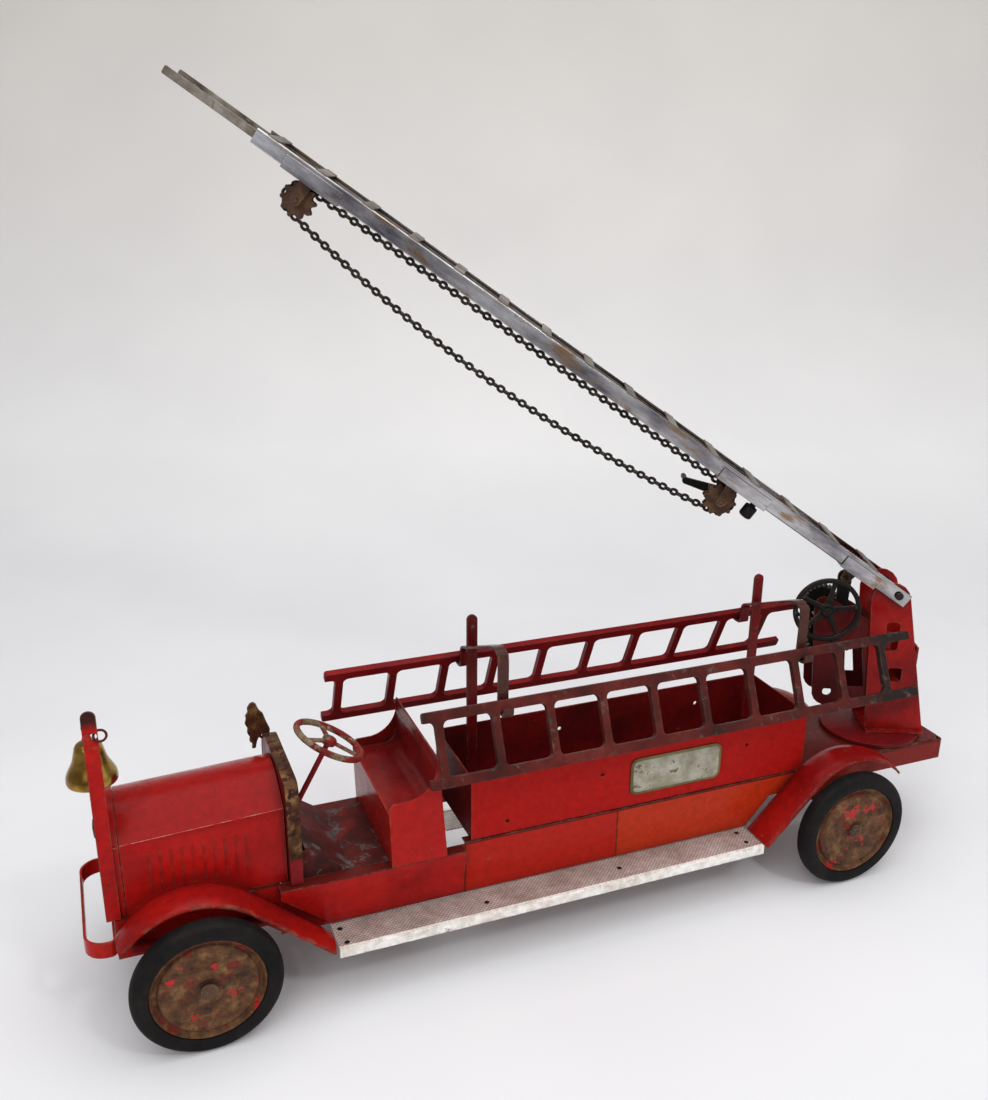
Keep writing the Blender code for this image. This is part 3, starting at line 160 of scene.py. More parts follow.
def smoothPath(points, steps=6):
    # A curve through the points, so that a bent strap has no kinks.
    path = []
    for i in range(len(points) - 1):
        p0 = Vector(points[max(i - 1, 0)])
        p1 = Vector(points[i])
        p2 = Vector(points[i + 1])
        p3 = Vector(points[min(i + 2, len(points) - 1)])
        for k in range(steps):
            t = k / steps
            a = p1 * 2 + (p2 - p0) * t
            b = (p0 * 2 - p1 * 5 + p2 * 4 - p3) * t * t
            c = (p1 * 3 - p0 - p2 * 3 + p3) * t * t * t
            path.append(tuple((a + b + c) / 2))
    path.append(tuple(points[-1]))
    return path


def together(shapes):
    whole = bmesh.new()
    for shape in shapes:
        copied = bpy.data.meshes.new("copied")
        shape.to_mesh(copied)
        shape.free()
        whole.from_mesh(copied)
        bpy.data.meshes.remove(copied)
    return whole


def mirrored(shape):
    bmesh.ops.scale(shape, vec=(1, -1, 1), verts=shape.verts)
    bmesh.ops.reverse_faces(shape, faces=shape.faces)
    return shape


def cutPiece(shape, cutters):
    # Cuts a shape with others and gives back the cut shape.
    made = []
    for item in [shape, *cutters]:
        mesh = bpy.data.meshes.new("cut")
        item.to_mesh(mesh)
        item.free()
        made.append(bpy.data.objects.new("cut", mesh))
        bpy.context.collection.objects.link(made[-1])
    for cutter in made[1:]:
        modifier = made[0].modifiers.new("cut", "BOOLEAN")
        modifier.operation = "DIFFERENCE"
        modifier.object = cutter
    graph = bpy.context.evaluated_depsgraph_get()
    graph.update()
    result = bpy.data.meshes.new_from_object(made[0].evaluated_get(graph))
    cut = bmesh.new()
    cut.from_mesh(result)
    for item in made:
        bpy.data.objects.remove(item, do_unlink=True)
    bpy.data.meshes.remove(result)
    return cut


# Pieces

def bevelled(piece, width, segments=2, angle=32):
    modifier = piece.modifiers.new("Bevel", "BEVEL")
    modifier.width = width
    modifier.segments = segments
    modifier.limit_method = "ANGLE"
    modifier.angle_limit = math.radians(angle)
    modifier.harden_normals = True
    return piece


def settle(piece, body, instead):
    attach(piece, body)
    if instead:
        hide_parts(*instead)
    return piece


def makePiece(name, shape, finish, body, place=home, bevel=0.0, angle=35, instead=()):
    bmesh.ops.transform(shape, matrix=place, verts=shape.verts)
    mesh = bpy.data.meshes.new(name)
    shape.to_mesh(mesh)
    shape.free()
    mesh.materials.append(finish)
    mesh.shade_smooth()
    mesh.set_sharp_from_angle(angle=math.radians(angle))
    piece = bpy.data.objects.new(name, mesh)
    bpy.context.collection.objects.link(piece)
    if bevel:
        bevelled(piece, bevel)
    return settle(piece, body, instead)


# Geometry Nodes: shapes set along a row or along a path

def hiddenShape(name, shape):
    mesh = bpy.data.meshes.new(name)
    shape.to_mesh(mesh)
    shape.free()
    mesh.shade_smooth()
    mesh.set_sharp_from_angle(angle=math.radians(35))
    made = bpy.data.objects.new(name, mesh)
    bpy.context.collection.objects.link(made)
    return made


def startTree(name, inputs):
    tree = bpy.data.node_groups.new(name, "GeometryNodeTree")
    tree.interface.new_socket("Geometry", in_out="INPUT", socket_type="NodeSocketGeometry")
    for label, kind in inputs:
        tree.interface.new_socket(label, in_out="INPUT", socket_type=kind)
    tree.interface.new_socket("Geometry", in_out="OUTPUT", socket_type="NodeSocketGeometry")
    return tree, tree.nodes.new("NodeGroupInput"), tree.nodes.new("NodeGroupOutput")


def finishTree(tree, points, source, target, rotation=None):
    info = tree.nodes.new("GeometryNodeObjectInfo")
    place = tree.nodes.new("GeometryNodeInstanceOnPoints")
    real = tree.nodes.new("GeometryNodeRealizeInstances")
    paint = tree.nodes.new("GeometryNodeSetMaterial")
    tree.links.new(source.outputs["Shape"], info.inputs["Object"])
    tree.links.new(points, place.inputs["Points"])
    tree.links.new(info.outputs["Geometry"], place.inputs["Instance"])
    if rotation:
        tree.links.new(rotation, place.inputs["Rotation"])
    tree.links.new(place.outputs["Instances"], real.inputs["Geometry"])
    tree.links.new(real.outputs["Geometry"], paint.inputs["Geometry"])
    tree.links.new(source.outputs["Finish"], paint.inputs["Material"])
    tree.links.new(paint.outputs["Geometry"], target.inputs["Geometry"])


def rowTree():
    tree, source, target = startTree("shapesInARow", [
        ("Count", "NodeSocketInt"),
        ("Start", "NodeSocketVector"),
        ("Step", "NodeSocketVector"),
        ("Shape", "NodeSocketObject"),
        ("Finish", "NodeSocketMaterial"),
    ])
    line = tree.nodes.new("GeometryNodeMeshLine")
    tree.links.new(source.outputs["Count"], line.inputs["Count"])
    tree.links.new(source.outputs["Start"], line.inputs["Start Location"])
    tree.links.new(source.outputs["Step"], line.inputs["Offset"])
    finishTree(tree, line.outputs["Mesh"], source, target)
    return tree


def pathTree():
    # Shapes spaced evenly along the object's own curve, every second one rolled by a quarter turn.
    tree, source, target = startTree("shapesAlongAPath", [
        ("Count", "NodeSocketInt"),
        ("Roll", "NodeSocketFloat"),
        ("Shape", "NodeSocketObject"),
        ("Finish", "NodeSocketMaterial"),
    ])
    spaced = tree.nodes.new("GeometryNodeResampleCurve")
    points = tree.nodes.new("GeometryNodeCurveToPoints")
    points.mode = "EVALUATED"
    index = tree.nodes.new("GeometryNodeInputIndex")
    odd = tree.nodes.new("ShaderNodeMath")
    odd.operation = "MODULO"
    odd.inputs[1].default_value = 2
    roll = tree.nodes.new("ShaderNodeMath")
    roll.operation = "MULTIPLY"
    euler = tree.nodes.new("ShaderNodeCombineXYZ")
    turn = tree.nodes.new("FunctionNodeRotateRotation")
    turn.rotation_space = "LOCAL"
    tree.links.new(source.outputs["Geometry"], spaced.inputs["Curve"])
    tree.links.new(source.outputs["Count"], spaced.inputs["Count"])
    tree.links.new(spaced.outputs["Curve"], points.inputs["Curve"])
    tree.links.new(index.outputs["Index"], odd.inputs[0])
    tree.links.new(odd.outputs[0], roll.inputs[0])
    tree.links.new(source.outputs["Roll"], roll.inputs[1])
    tree.links.new(roll.outputs[0], euler.inputs["Z"])
    tree.links.new(points.outputs["Rotation"], turn.inputs["Rotation"])
    tree.links.new(euler.outputs["Vector"], turn.inputs["Rotate By"])
    finishTree(tree, points.outputs["Points"], source, target, turn.outputs["Rotation"])
    return tree


trees = {"row": rowTree(), "path": pathTree()}
print("node trees ready")


def arranged(name, tree, values, shape, finish, body, place=home, carrier=None, bevel=0.0, instead=()):
    # Runs a tree on a carrier, keeps the result as a plain mesh and moves it into place.
    sample = hiddenShape(name + "Shape", shape)
    if carrier is None:
        carrier = bpy.data.objects.new(name + "Carrier", bpy.data.meshes.new(name + "Carrier"))
    bpy.context.collection.objects.link(carrier)
    modifier = carrier.modifiers.new("Arrange", "NODES")
    modifier.node_group = trees[tree]
    wanted = {**values, "Shape": sample, "Finish": finish}
    for item in trees[tree].interface.items_tree:
        if item.in_out == "INPUT" and item.name in wanted:
            modifier[item.identifier] = wanted[item.name]
    graph = bpy.context.evaluated_depsgraph_get()
    graph.update()
    mesh = bpy.data.meshes.new_from_object(carrier.evaluated_get(graph))
    carrier.modifiers.remove(modifier)
    bpy.data.objects.remove(carrier, do_unlink=True)
    bpy.data.objects.remove(sample, do_unlink=True)
    mesh.transform(place)
    mesh.name = name
    if not mesh.materials:
        mesh.materials.append(finish)
    piece = bpy.data.objects.new(name, mesh)
    bpy.context.collection.objects.link(piece)
    if bevel:
        bevelled(piece, bevel)
    return settle(piece, body, instead)


# Finishes

def node(tree, kind, **values):
    made = tree.nodes.new(kind)
    for key, value in values.items():
        setattr(made, key, value)
    return made


def noise(tree, coords, scale, detail=4.0, rough=0.55):
    made = tree.nodes.new("ShaderNodeTexNoise")
    made.inputs["Scale"].default_value = scale
    made.inputs["Detail"].default_value = detail
    made.inputs["Roughness"].default_value = rough
    tree.links.new(coords, made.inputs["Vector"])
    return made.outputs["Fac"]


def ramp(tree, factor, stops):
    made = tree.nodes.new("ShaderNodeValToRGB")
    bar = made.color_ramp
    while len(bar.elements) < len(stops):
        bar.elements.new(0.5)
    for element, (place, value) in zip(bar.elements, stops):
        element.position = place
        element.color = (*value, 1) if isinstance(value, tuple) else (value, value, value, 1)
    tree.links.new(factor, made.inputs["Fac"])
    return made.outputs["Color"]


def mixed(tree, factor, first, second, blend="MIX"):
    made = node(tree, "ShaderNodeMix", data_type="RGBA", blend_type=blend)
    for socket, value in ((made.inputs[0], factor), (made.inputs[6], first), (made.inputs[7], second)):
        if isinstance(value, tuple):
            socket.default_value = (*value, 1)
        elif isinstance(value, float):
            socket.default_value = value
        else:
            tree.links.new(value, socket)
    return made.outputs[2]


def sums(tree, operation, first, second, clamp=False):
    made = node(tree, "ShaderNodeMath", operation=operation, use_clamp=clamp)
    for socket, value in zip(made.inputs, (first, second)):
        if isinstance(value, (int, float)):
            socket.default_value = value
        else:
            tree.links.new(value, socket)
    return made.outputs[0]


def edgeWear(tree, width):
    # Near 1 on outer edges and 0 on flats: how far a rounded normal leans from the true one.
    soft = node(tree, "ShaderNodeBevel", samples=4)
    soft.inputs["Radius"].default_value = width
    true = tree.nodes.new("ShaderNodeNewGeometry")
    same = node(tree, "ShaderNodeVectorMath", operation="DOT_PRODUCT")
    tree.links.new(soft.outputs["Normal"], same.inputs[0])
    tree.links.new(true.outputs["Normal"], same.inputs[1])
    return sums(tree, "SUBTRACT", 1.0, same.outputs["Value"], True)


def agedFinish(name, look):
    # Paint or plating with patches of other shades, chips along its edges, small pits and fine scratches,
    # darkening in its hollows that is partly painted shade and partly dirt, and zones of other colour, some
    # of them painted light and shade.
    finish = bpy.data.materials.new(name)
    finish.use_nodes = True
    tree = finish.node_tree
    shader = tree.nodes["Principled BSDF"]
    where = tree.nodes.new("ShaderNodeTexCoord")
    shifted = node(tree, "ShaderNodeMapping", vector_type="TEXTURE")
    shifted.inputs["Location"].default_value = look.get("offset", (0.3, 0.1, 0.7))
    shifted.inputs["Rotation"].default_value = look.get("turn", (0, 0, 0))
    shifted.inputs["Scale"].default_value = (look.get("stretch", 1.0), 1, 1)
    tree.links.new(where.outputs["Object"], shifted.inputs["Vector"])
    coords = shifted.outputs["Vector"]
    patches = noise(tree, coords, look.get("patchScale", 11.0), 5.0, 0.6)
    colour = ramp(tree, patches, [(0.34, look["shade"]), (0.52, look["base"]), (0.72, look["fade"])])
    mottle = noise(tree, coords, look.get("mottleScale", 160.0), 4.0, 0.7)
    if look.get("stain"):
        spread = noise(tree, coords, look.get("stainScale", 17.0), 4.0, 0.6)
        low = look.get("stainLevel", 0.55)
        colour = mixed(tree, ramp(tree, spread, [(low, 0.0), (low + 0.08, 1.0)]), colour, look["stain"])
    for axis, start, end, value, *middle in look.get("zones", ()):
        # A colour past one place along an axis or, with a middle given, past one distance
        # to either side of it.
        reach = node(tree, "ShaderNodeVectorMath", operation="DOT_PRODUCT")
        tree.links.new(where.outputs["Object"], reach.inputs[0])
        reach.inputs[1].default_value = axis
        spot = reach.outputs["Value"]
        if middle:
            spot = sums(tree, "ABSOLUTE", sums(tree, "SUBTRACT", spot, middle[0]), 0.0)
        ragged = sums(tree, "MULTIPLY", sums(tree, "SUBTRACT", mottle, 0.5), abs(end - start) * 1.5)
        spot = sums(tree, "ADD", spot, ragged)
        span = node(tree, "ShaderNodeMapRange", interpolation_type="SMOOTHSTEP")
        span.inputs["From Min"].default_value = start
        span.inputs["From Max"].default_value = end
        tree.links.new(spot, span.inputs["Value"])
        colour = mixed(tree, span.outputs["Result"], colour, value)
    colour = mixed(tree, 1.0, colour, ramp(tree, mottle, [(0.3, look.get("mottleLow", 0.78)), (0.7, 1.12)]),
                   "MULTIPLY")
    chipNoise = noise(tree, coords, look.get("chipScale", 95.0), 6.0, 0.7)
    edge = sums(tree, "MULTIPLY", edgeWear(tree, look.get("edgeWidth", 0.0012)), look.get("edgeGain", 5.0),
                True)
    edgeChips = sums(tree, "MULTIPLY", edge, ramp(tree, chipNoise, [(0.44, 0.0), (0.56, 1.0)]))
    low = look.get("chipLevel", 0.70)
    flatChips = ramp(tree, chipNoise, [(low, 0.0), (low + 0.015, 1.0)])
    chips = sums(tree, "MAXIMUM", edgeChips, flatChips)
    # Darkening in hollows found by ambient occlusion: painted shade, with the brown of dirt where a finish
    # gives a brown colour.
    if look.get("shadeAndDirt"):
        hollow = node(tree, "ShaderNodeAmbientOcclusion", samples=4)
        hollow.inputs["Distance"].default_value = look.get("shadeAndDirtReach", 0.012)
        hollowShadeAndDirt = ramp(tree, hollow.outputs["AO"], [(0.25, 1.0), (0.85, 0.0)])
        hollowShadeAndDirt = sums(tree, "MULTIPLY", hollowShadeAndDirt, ramp(tree, mottle, [(0.35, 0.35), (0.65, 1.0)]))
        colour = mixed(tree, hollowShadeAndDirt, colour, look["shadeAndDirt"])
    streaks = tree.nodes.new("ShaderNodeMapping")
    streaks.inputs["Scale"].default_value = look.get("streakScale", (14.0, 260.0, 260.0))
    tree.links.new(where.outputs["Object"], streaks.inputs["Vector"])
    lines = ramp(tree, noise(tree, streaks.outputs["Vector"], 1.0, 3.0, 0.6), [(0.66, 0.0), (0.72, 1.0)])
    scratches = sums(tree, "MULTIPLY", lines, look.get("scratch", 0.25))
    colour = mixed(tree, scratches, colour, look.get("scratchColour", look["fade"]))
    chipColour = ramp(tree, mottle, [(0.35, look["chip"]), (0.65, look.get("chipLight", look["chip"]))])
    colour = mixed(tree, chips, colour, chipColour)
    tree.links.new(colour, shader.inputs["Base Color"])
    smooth, dull = look.get("roughness", (0.28, 0.5))
    worn = noise(tree, coords, 42.0, 4.0, 0.65)
    rough = ramp(tree, worn, [(0.3, smooth), (0.7, dull)])
    rough = mixed(tree, chips, rough, (look.get("chipRough", 0.8),) * 3)
    tree.links.new(rough, shader.inputs["Roughness"])
    metal = look.get("metal", 0.0)
    if metal:
        bare = sums(tree, "SUBTRACT", 1.0, chips, True)
        tree.links.new(sums(tree, "MULTIPLY", bare, metal), shader.inputs["Metallic"])
    shader.inputs["Coat Weight"].default_value = look.get("coat", 0.0)
    shader.inputs["Coat Roughness"].default_value = look.get("coatRough", 0.2)
    shader.inputs["Specular IOR Level"].default_value = look.get("specular", 0.5)
    relief = tree.nodes.new("ShaderNodeBump")
    relief.inputs["Strength"].default_value = look.get("relief", 0.25)
    relief.inputs["Distance"].default_value = 0.0004
    dents = noise(tree, coords, 34.0, 2.0, 0.5)
    height = sums(tree, "ADD", sums(tree, "MULTIPLY", mottle, 0.35), sums(tree, "MULTIPLY", dents,
                                                                          look.get("dents", 1.6)))
    height = sums(tree, "SUBTRACT", height, sums(tree, "MULTIPLY", chips, 0.5))
    tree.links.new(height, relief.inputs["Height"])
    tree.links.new(relief.outputs["Normal"], shader.inputs["Normal"])
    return finish


# The dark red that this look lays into hollows is painted shade.
redLook = {
    "base": (0.395, 0.0075, 0.0060), "shade": (0.28, 0.0055, 0.0048), "fade": (0.47, 0.013, 0.0075),
    "chip": (0.050, 0.018, 0.012), "chipLight": (0.20, 0.11, 0.065), "shadeAndDirt": (0.055, 0.006, 0.005),
    "roughness": (0.16, 0.34), "specular": 0.10, "chipLevel": 0.70, "edgeGain": 9.0, "edgeWidth": 0.0016,
}
middleY = layout["centreLine"][1]
alongX, alongY, alongZ = (1, 0, 0), (0, 1, 0), (0, 0, 1)
creaseGlintLine = (0.0431, 0, 1)
finishes = {
    "enamel": agedFinish("redEnamel", redLook),
    "hood": agedFinish("bonnetEnamel", {
        **redLook,
        "zones": (
            # Painted shade: the bonnet's top is a darker copy of the red, for how the light falls on it.
            (alongZ, 0.1500, 0.1560, (0.285, 0.0062, 0.0050)),
            # Painted glints: a thin pale line along the side crease.
            (creaseGlintLine, 0.00026, -0.00036, (0.80, 0.66, 0.62), 0.1688),
        ),
        "specular": 0.10,
    }),
    "louvre": agedFinish("louvreEnamel", {**redLook, "edgeGain": 2.0, "base": (0.30, 0.007, 0.006)}),
    "guard": agedFinish("mudguardEnamel", {
        **redLook,
        # Painted shade: the mudguards take a darker copy of the red enamel for their upward faces.
        "base": (0.285, 0.0062, 0.0052), "shade": (0.18, 0.0050, 0.0045), "fade": (0.36, 0.0100, 0.0062),
        "patchScale": 16.0, "edgeGain": 14.0, "specular": 0.12,
    }),
    "seat": agedFinish("seatEnamel", {
        **redLook,
        "base": (0.180, 0.0062, 0.0058), "shade": (0.090, 0.0058, 0.0055),
        "fade": (0.260, 0.0090, 0.0080),
        "zones": (
            # Painted light and shade: the seat's inside is a dark copy of the red, and its front face and
            # outer sides are lit copies.
            (alongX, front - 0.1462, front - 0.1455, (0.330, 0.0085, 0.0062)),
            (alongY, 0.0540, 0.0546, (0.395, 0.0085, 0.0062), middleY),
        ),
        "edgeGain": 16.0, "specular": 0.12,
    }),
    "bed": agedFinish("bedEnamel", {
        **redLook,
        "base": (0.135, 0.0050, 0.0050), "shade": (0.060, 0.0040, 0.0040),
        "fade": (0.190, 0.0070, 0.0065),
        # Painted shade: the bed's inside is a dark copy of the red; only its outer sides keep the lit red.
        "zones": ((alongY, 0.0426, 0.0431, (0.400, 0.0080, 0.0060), middleY),), "edgeGain": 14.0,
        "roughness": (0.40, 0.60), "specular": 0.08,
    }),
    "tower": agedFinish("towerEnamel", {
        **redLook,
        "base": (0.290, 0.0068, 0.0058), "shade": (0.150, 0.0055, 0.0050),
        "fade": (0.380, 0.0120, 0.0080), "patchScale": 22.0, "edgeGain": 14.0, "specular": 0.12,
    }),
    "hanger": agedFinish("hangerEnamel", {
        **redLook,
        "base": (0.150, 0.0058, 0.0062), "shade": (0.080, 0.0048, 0.0050), "fade": (0.22, 0.0100, 0.0090),
        "chip": (0.034, 0.020, 0.014), "chipLight": (0.13, 0.085, 0.062), "chipLevel": 0.62,
        "zones": ((alongY, middleY + 0.010, middleY + 0.030, (0.070, 0.024, 0.018)),), "specular": 0.14,
    }),
    "rail": agedFinish("railEnamel", {
        **redLook,
        "stain": (0.48, 0.040, 0.009), "stainLevel": 0.62,
        "zones": (
            (alongX, 0.0985, 0.0975, (0.430, 0.0135, 0.0062)),
            (alongX, -0.0385, -0.0395, (0.470, 0.0300, 0.0075)),
            # Partly painted shade: the deck top and the tail end are darker copies of the red, as shadow
            # under the bed, seat and turntable; at the tail it is also its own darker brown-red paint.
            (alongX, -0.2880, -0.3000, (0.200, 0.0150, 0.0095)),
            (alongZ, 0.0944, 0.0952, (0.110, 0.0100, 0.0080)),
            (alongX, 0.0012, 0.0, (0.055, 0.0200, 0.0110), 0.0980),
            (alongX, 0.0012, 0.0, (0.055, 0.0200, 0.0110), -0.0390),
        ),
        "edgeGain": 14.0, "chipLevel": 0.67, "offset": (0.1, 0.9, 0.2),
    }),
    "maroon": agedFinish("maroonEnamel", {
        **redLook,
        "base": (0.185, 0.0060, 0.0075), "shade": (0.105, 0.0045, 0.0060), "fade": (0.26, 0.010, 0.011),
        "chip": (0.030, 0.014, 0.011), "chipLight": (0.085, 0.045, 0.032), "chipLevel": 0.66,
        "roughness": (0.26, 0.5),
    }),
    "darkMaroon": agedFinish("darkMaroonEnamel", {
        **redLook,
        "base": (0.085, 0.0065, 0.0065), "shade": (0.040, 0.0045, 0.0045), "fade": (0.15, 0.010, 0.010),
        "chip": (0.022, 0.012, 0.010), "chipLight": (0.060, 0.036, 0.028), "chipLevel": 0.62,
        "roughness": (0.3, 0.55),
    }),
    "fadedPaint": agedFinish("fadedLadderPaint", {
        **redLook,
        "base": (0.085, 0.0125, 0.0098), "shade": (0.038, 0.0105, 0.0085), "fade": (0.145, 0.022, 0.016),
        "chip": (0.032, 0.017, 0.013), "chipLight": (0.12, 0.075, 0.058), "chipLevel": 0.60,
        "patchScale": 26.0, "roughness": (0.36, 0.62),
        "zones": ((alongX, -0.240, -0.300, (0.020, 0.013, 0.011)),), "specular": 0.12,
    }),
    "floor": agedFinish("wornFloor", {
        **redLook,
        "base": (0.085, 0.014, 0.012), "shade": (0.035, 0.014, 0.012), "fade": (0.20, 0.018, 0.015),
        "chip": (0.065, 0.050, 0.046), "chipLight": (0.13, 0.10, 0.095), "chipLevel": 0.56,
        "patchScale": 38.0, "chipScale": 60.0, "roughness": (0.5, 0.75),
    }),
    "helm": agedFinish("wornHelm", {
        **redLook,
        "base": (0.17, 0.012, 0.010), "shade": (0.10, 0.009, 0.008), "fade": (0.26, 0.020, 0.015),
        "chip": (0.075, 0.050, 0.032), "chipLight": (0.27, 0.19, 0.12), "chipScale": 52.0,
        "chipLevel": 0.49, "roughness": (0.35, 0.6),
    }),
    "gilt": agedFinish("wornGilt", {
        **redLook,
        "base": (0.115, 0.052, 0.020), "shade": (0.040, 0.015, 0.009), "fade": (0.34, 0.205, 0.085),
        "chip": (0.022, 0.011, 0.008), "chipLight": (0.075, 0.020, 0.013), "patchScale": 75.0,
        "chipLevel": 0.52, "roughness": (0.3, 0.55), "metal": 0.4,
    }),
    "plating": agedFinish("nickelPlating", {
        "base": (0.46, 0.44, 0.45), "shade": (0.13, 0.12, 0.15), "fade": (0.66, 0.65, 0.68),
        "stain": (0.30, 0.20, 0.13), "stainScale": 70.0, "stainLevel": 0.55, "chip": (0.10, 0.060, 0.035),
        "chipLight": (0.25, 0.17, 0.11), "shadeAndDirt": (0.10, 0.075, 0.055), "shadeAndDirtReach": 0.006,
        "turn": (0, -layout["ladderRaise"], layout["turntableYaw"]), "stretch": 3.5, "patchScale": 46.0,
        "mottleScale": 260.0, "chipLevel": 0.66, "metal": 1.0, "roughness": (0.10, 0.34),
        "chipRough": 0.6, "dents": 2.6,
    }),
    "dullPlating": agedFinish("dullPlating", {
        "base": (0.21, 0.180, 0.150), "shade": (0.085, 0.068, 0.052), "fade": (0.40, 0.37, 0.33),
        "chip": (0.10, 0.065, 0.040), "chipLight": (0.24, 0.18, 0.12), "shadeAndDirt": (0.06, 0.045, 0.035),
        "shadeAndDirtReach": 0.006, "patchScale": 30.0, "chipLevel": 0.62, "metal": 0.9,
        "roughness": (0.32, 0.58),
    }),
    "brass": agedFinish("bellBrass", {
        "base": (0.34, 0.200, 0.042), "shade": (0.18, 0.090, 0.020), "fade": (0.52, 0.350, 0.085),
        "chip": (0.070, 0.036, 0.012), "chipLight": (0.15, 0.085, 0.026), "patchScale": 60.0,
        "chipLevel": 0.66, "metal": 1.0, "roughness": (0.16, 0.32), "relief": 0.15,
    }),
    "black": agedFinish("blackenedSteel", {
        "base": (0.014, 0.0110, 0.0095), "shade": (0.008, 0.0070, 0.0062),
        "fade": (0.034, 0.0220, 0.0155), "chip": (0.060, 0.034, 0.020), "chipLight": (0.13, 0.080, 0.050),
        "patchScale": 60.0, "chipLevel": 0.66, "metal": 0.7, "roughness": (0.35, 0.6),
    }),
    "rust": agedFinish("rustedSteel", {
        "base": (0.095, 0.042, 0.020), "shade": (0.038, 0.018, 0.010), "fade": (0.20, 0.105, 0.052),
        "chip": (0.040, 0.022, 0.014), "chipLight": (0.28, 0.19, 0.11), "patchScale": 55.0,
        "mottleScale": 320.0, "chipLevel": 0.64, "metal": 0.35, "roughness": (0.5, 0.8), "relief": 0.5,
    }),
    "rubber": agedFinish("agedRubber", {
        "base": (0.0068, 0.0052, 0.0048), "shade": (0.0042, 0.0034, 0.0032),
        "fade": (0.014, 0.0105, 0.0090), "chip": (0.040, 0.030, 0.025), "patchScale": 40.0,
        "chipLevel": 0.74, "edgeGain": 0.0, "roughness": (0.55, 0.78), "scratch": 0.1, "specular": 0.15,
    }),
}
print("finishes ready")


def wheelFinish():
    # Rusted disc with the red paint left in patches.
    look = {
        "base": (0.135, 0.056, 0.020), "shade": (0.050, 0.018, 0.009), "fade": (0.29, 0.150, 0.058),
        "stain": (0.17, 0.022, 0.012), "stainScale": 60.0, "stainLevel": 0.56,
        "chip": (0.48, 0.010, 0.010), "chipLight": (0.34, 0.009, 0.009), "chipScale": 58.0,
        "chipLevel": 0.605, "chipRough": 0.4, "edgeGain": 0.0, "patchScale": 85.0, "mottleScale": 300.0,
        "mottleLow": 0.55, "specular": 0.3, "metal": 0.25, "roughness": (0.48, 0.75), "relief": 0.45,
    }
    return agedFinish("wheelDisc", look)


def treadFinish():
    # Plated tread with a fine pressed lattice.
    finish = agedFinish("nickelTread", {
        "base": (0.66, 0.585, 0.525), "shade": (0.48, 0.41, 0.355), "fade": (0.82, 0.77, 0.73),
        "chip": (0.17, 0.095, 0.060), "chipLight": (0.30, 0.20, 0.14), "patchScale": 20.0,
        "chipLevel": 0.72, "metal": 0.45, "roughness": (0.42, 0.6),
    })
    tree = finish.node_tree
    where = tree.nodes.new("ShaderNodeTexCoord")
    lattice = tree.nodes.new("ShaderNodeMapping")
    lattice.inputs["Rotation"].default_value = (0, 0, math.radians(45))
    tree.links.new(where.outputs["Object"], lattice.inputs["Vector"])
    height = None
    for direction in ("X", "Y"):
        wave = node(tree, "ShaderNodeTexWave", bands_direction=direction)
        wave.inputs["Scale"].default_value = 130.0
        tree.links.new(lattice.outputs["Vector"], wave.inputs["Vector"])
        height = wave.outputs["Fac"] if height is None else sums(tree, "MULTIPLY", height,
                                                                 wave.outputs["Fac"])
    shader = tree.nodes["Principled BSDF"]
    colour = shader.inputs["Base Color"].links[0].from_socket
    pattern = ramp(tree, height, [(0.05, 0.62), (0.5, 1.08)])
    tree.links.new(mixed(tree, 1.0, colour, pattern, "MULTIPLY"), shader.inputs["Base Color"])
    relief = tree.nodes.new("ShaderNodeBump")
    relief.inputs["Strength"].default_value = 0.6
    relief.inputs["Distance"].default_value = 0.0005
    tree.links.new(height, relief.inputs["Height"])
    tree.links.new(shader.inputs["Normal"].links[0].from_socket, relief.inputs["Normal"])
    tree.links.new(relief.outputs["Normal"], shader.inputs["Normal"])
    return finish


finishes["strap"] = agedFinish("strapEnamel", {
    **redLook,
    "zones": ((alongZ, 0.2440, 0.2520, (0.045, 0.011, 0.009)),),
})
finishes["wheel"] = wheelFinish()
finishes["tread"] = treadFinish()
finishes["lip"] = agedFinish("creamLip", {
    **redLook,
    "base": (0.90, 0.86, 0.80), "shade": (0.72, 0.66, 0.58), "fade": (0.97, 0.95, 0.92),
    "chip": (0.24, 0.15, 0.09), "chipLight": (0.42, 0.32, 0.24), "shadeAndDirt": (0.20, 0.15, 0.10),
    "chipLevel": 0.68, "patchScale": 40.0,
})
finishes["plate"] = agedFinish("creamPlate", {
    **redLook,
    "base": (0.40, 0.375, 0.29), "shade": (0.26, 0.24, 0.17), "fade": (0.52, 0.50, 0.42),
    "chip": (0.10, 0.075, 0.045), "chipLight": (0.22, 0.18, 0.11), "shadeAndDirt": (0.16, 0.13, 0.07),
    "chipLevel": 0.60, "chipScale": 120.0, "patchScale": 60.0,
})
finishes["olive"] = agedFinish("plateEdge", {
    **redLook,
    "base": (0.17, 0.14, 0.055), "shade": (0.10, 0.085, 0.035), "fade": (0.25, 0.21, 0.09),
})


# Carried-over pieces keep their shape and take the better finish.
def refinish(names, finish):
    for name in names:
        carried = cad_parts[name]
        carried.data.materials.clear()
        carried.data.materials.append(finish)


refinish(["chassis_frame"], finishes["rail"])
refinish(["ladder_bed"], finishes["bed"])
refinish(["tower"], finishes["tower"])
refinish(["cab_floor"], finishes["floor"])
refinish(["gear_frame"], finishes["darkMaroon"])
refinish(["lift_link", "bell_clapper"], finishes["black"])
print("carried pieces refinished")

# Wheels and axles
wheelSize = {
    "tyre": 0.0540, "width": 0.0152, "rim": 0.0414, "faceY": 0.084, "height": 0.054, "sides": 96,
    "axle": 0.0032,
}


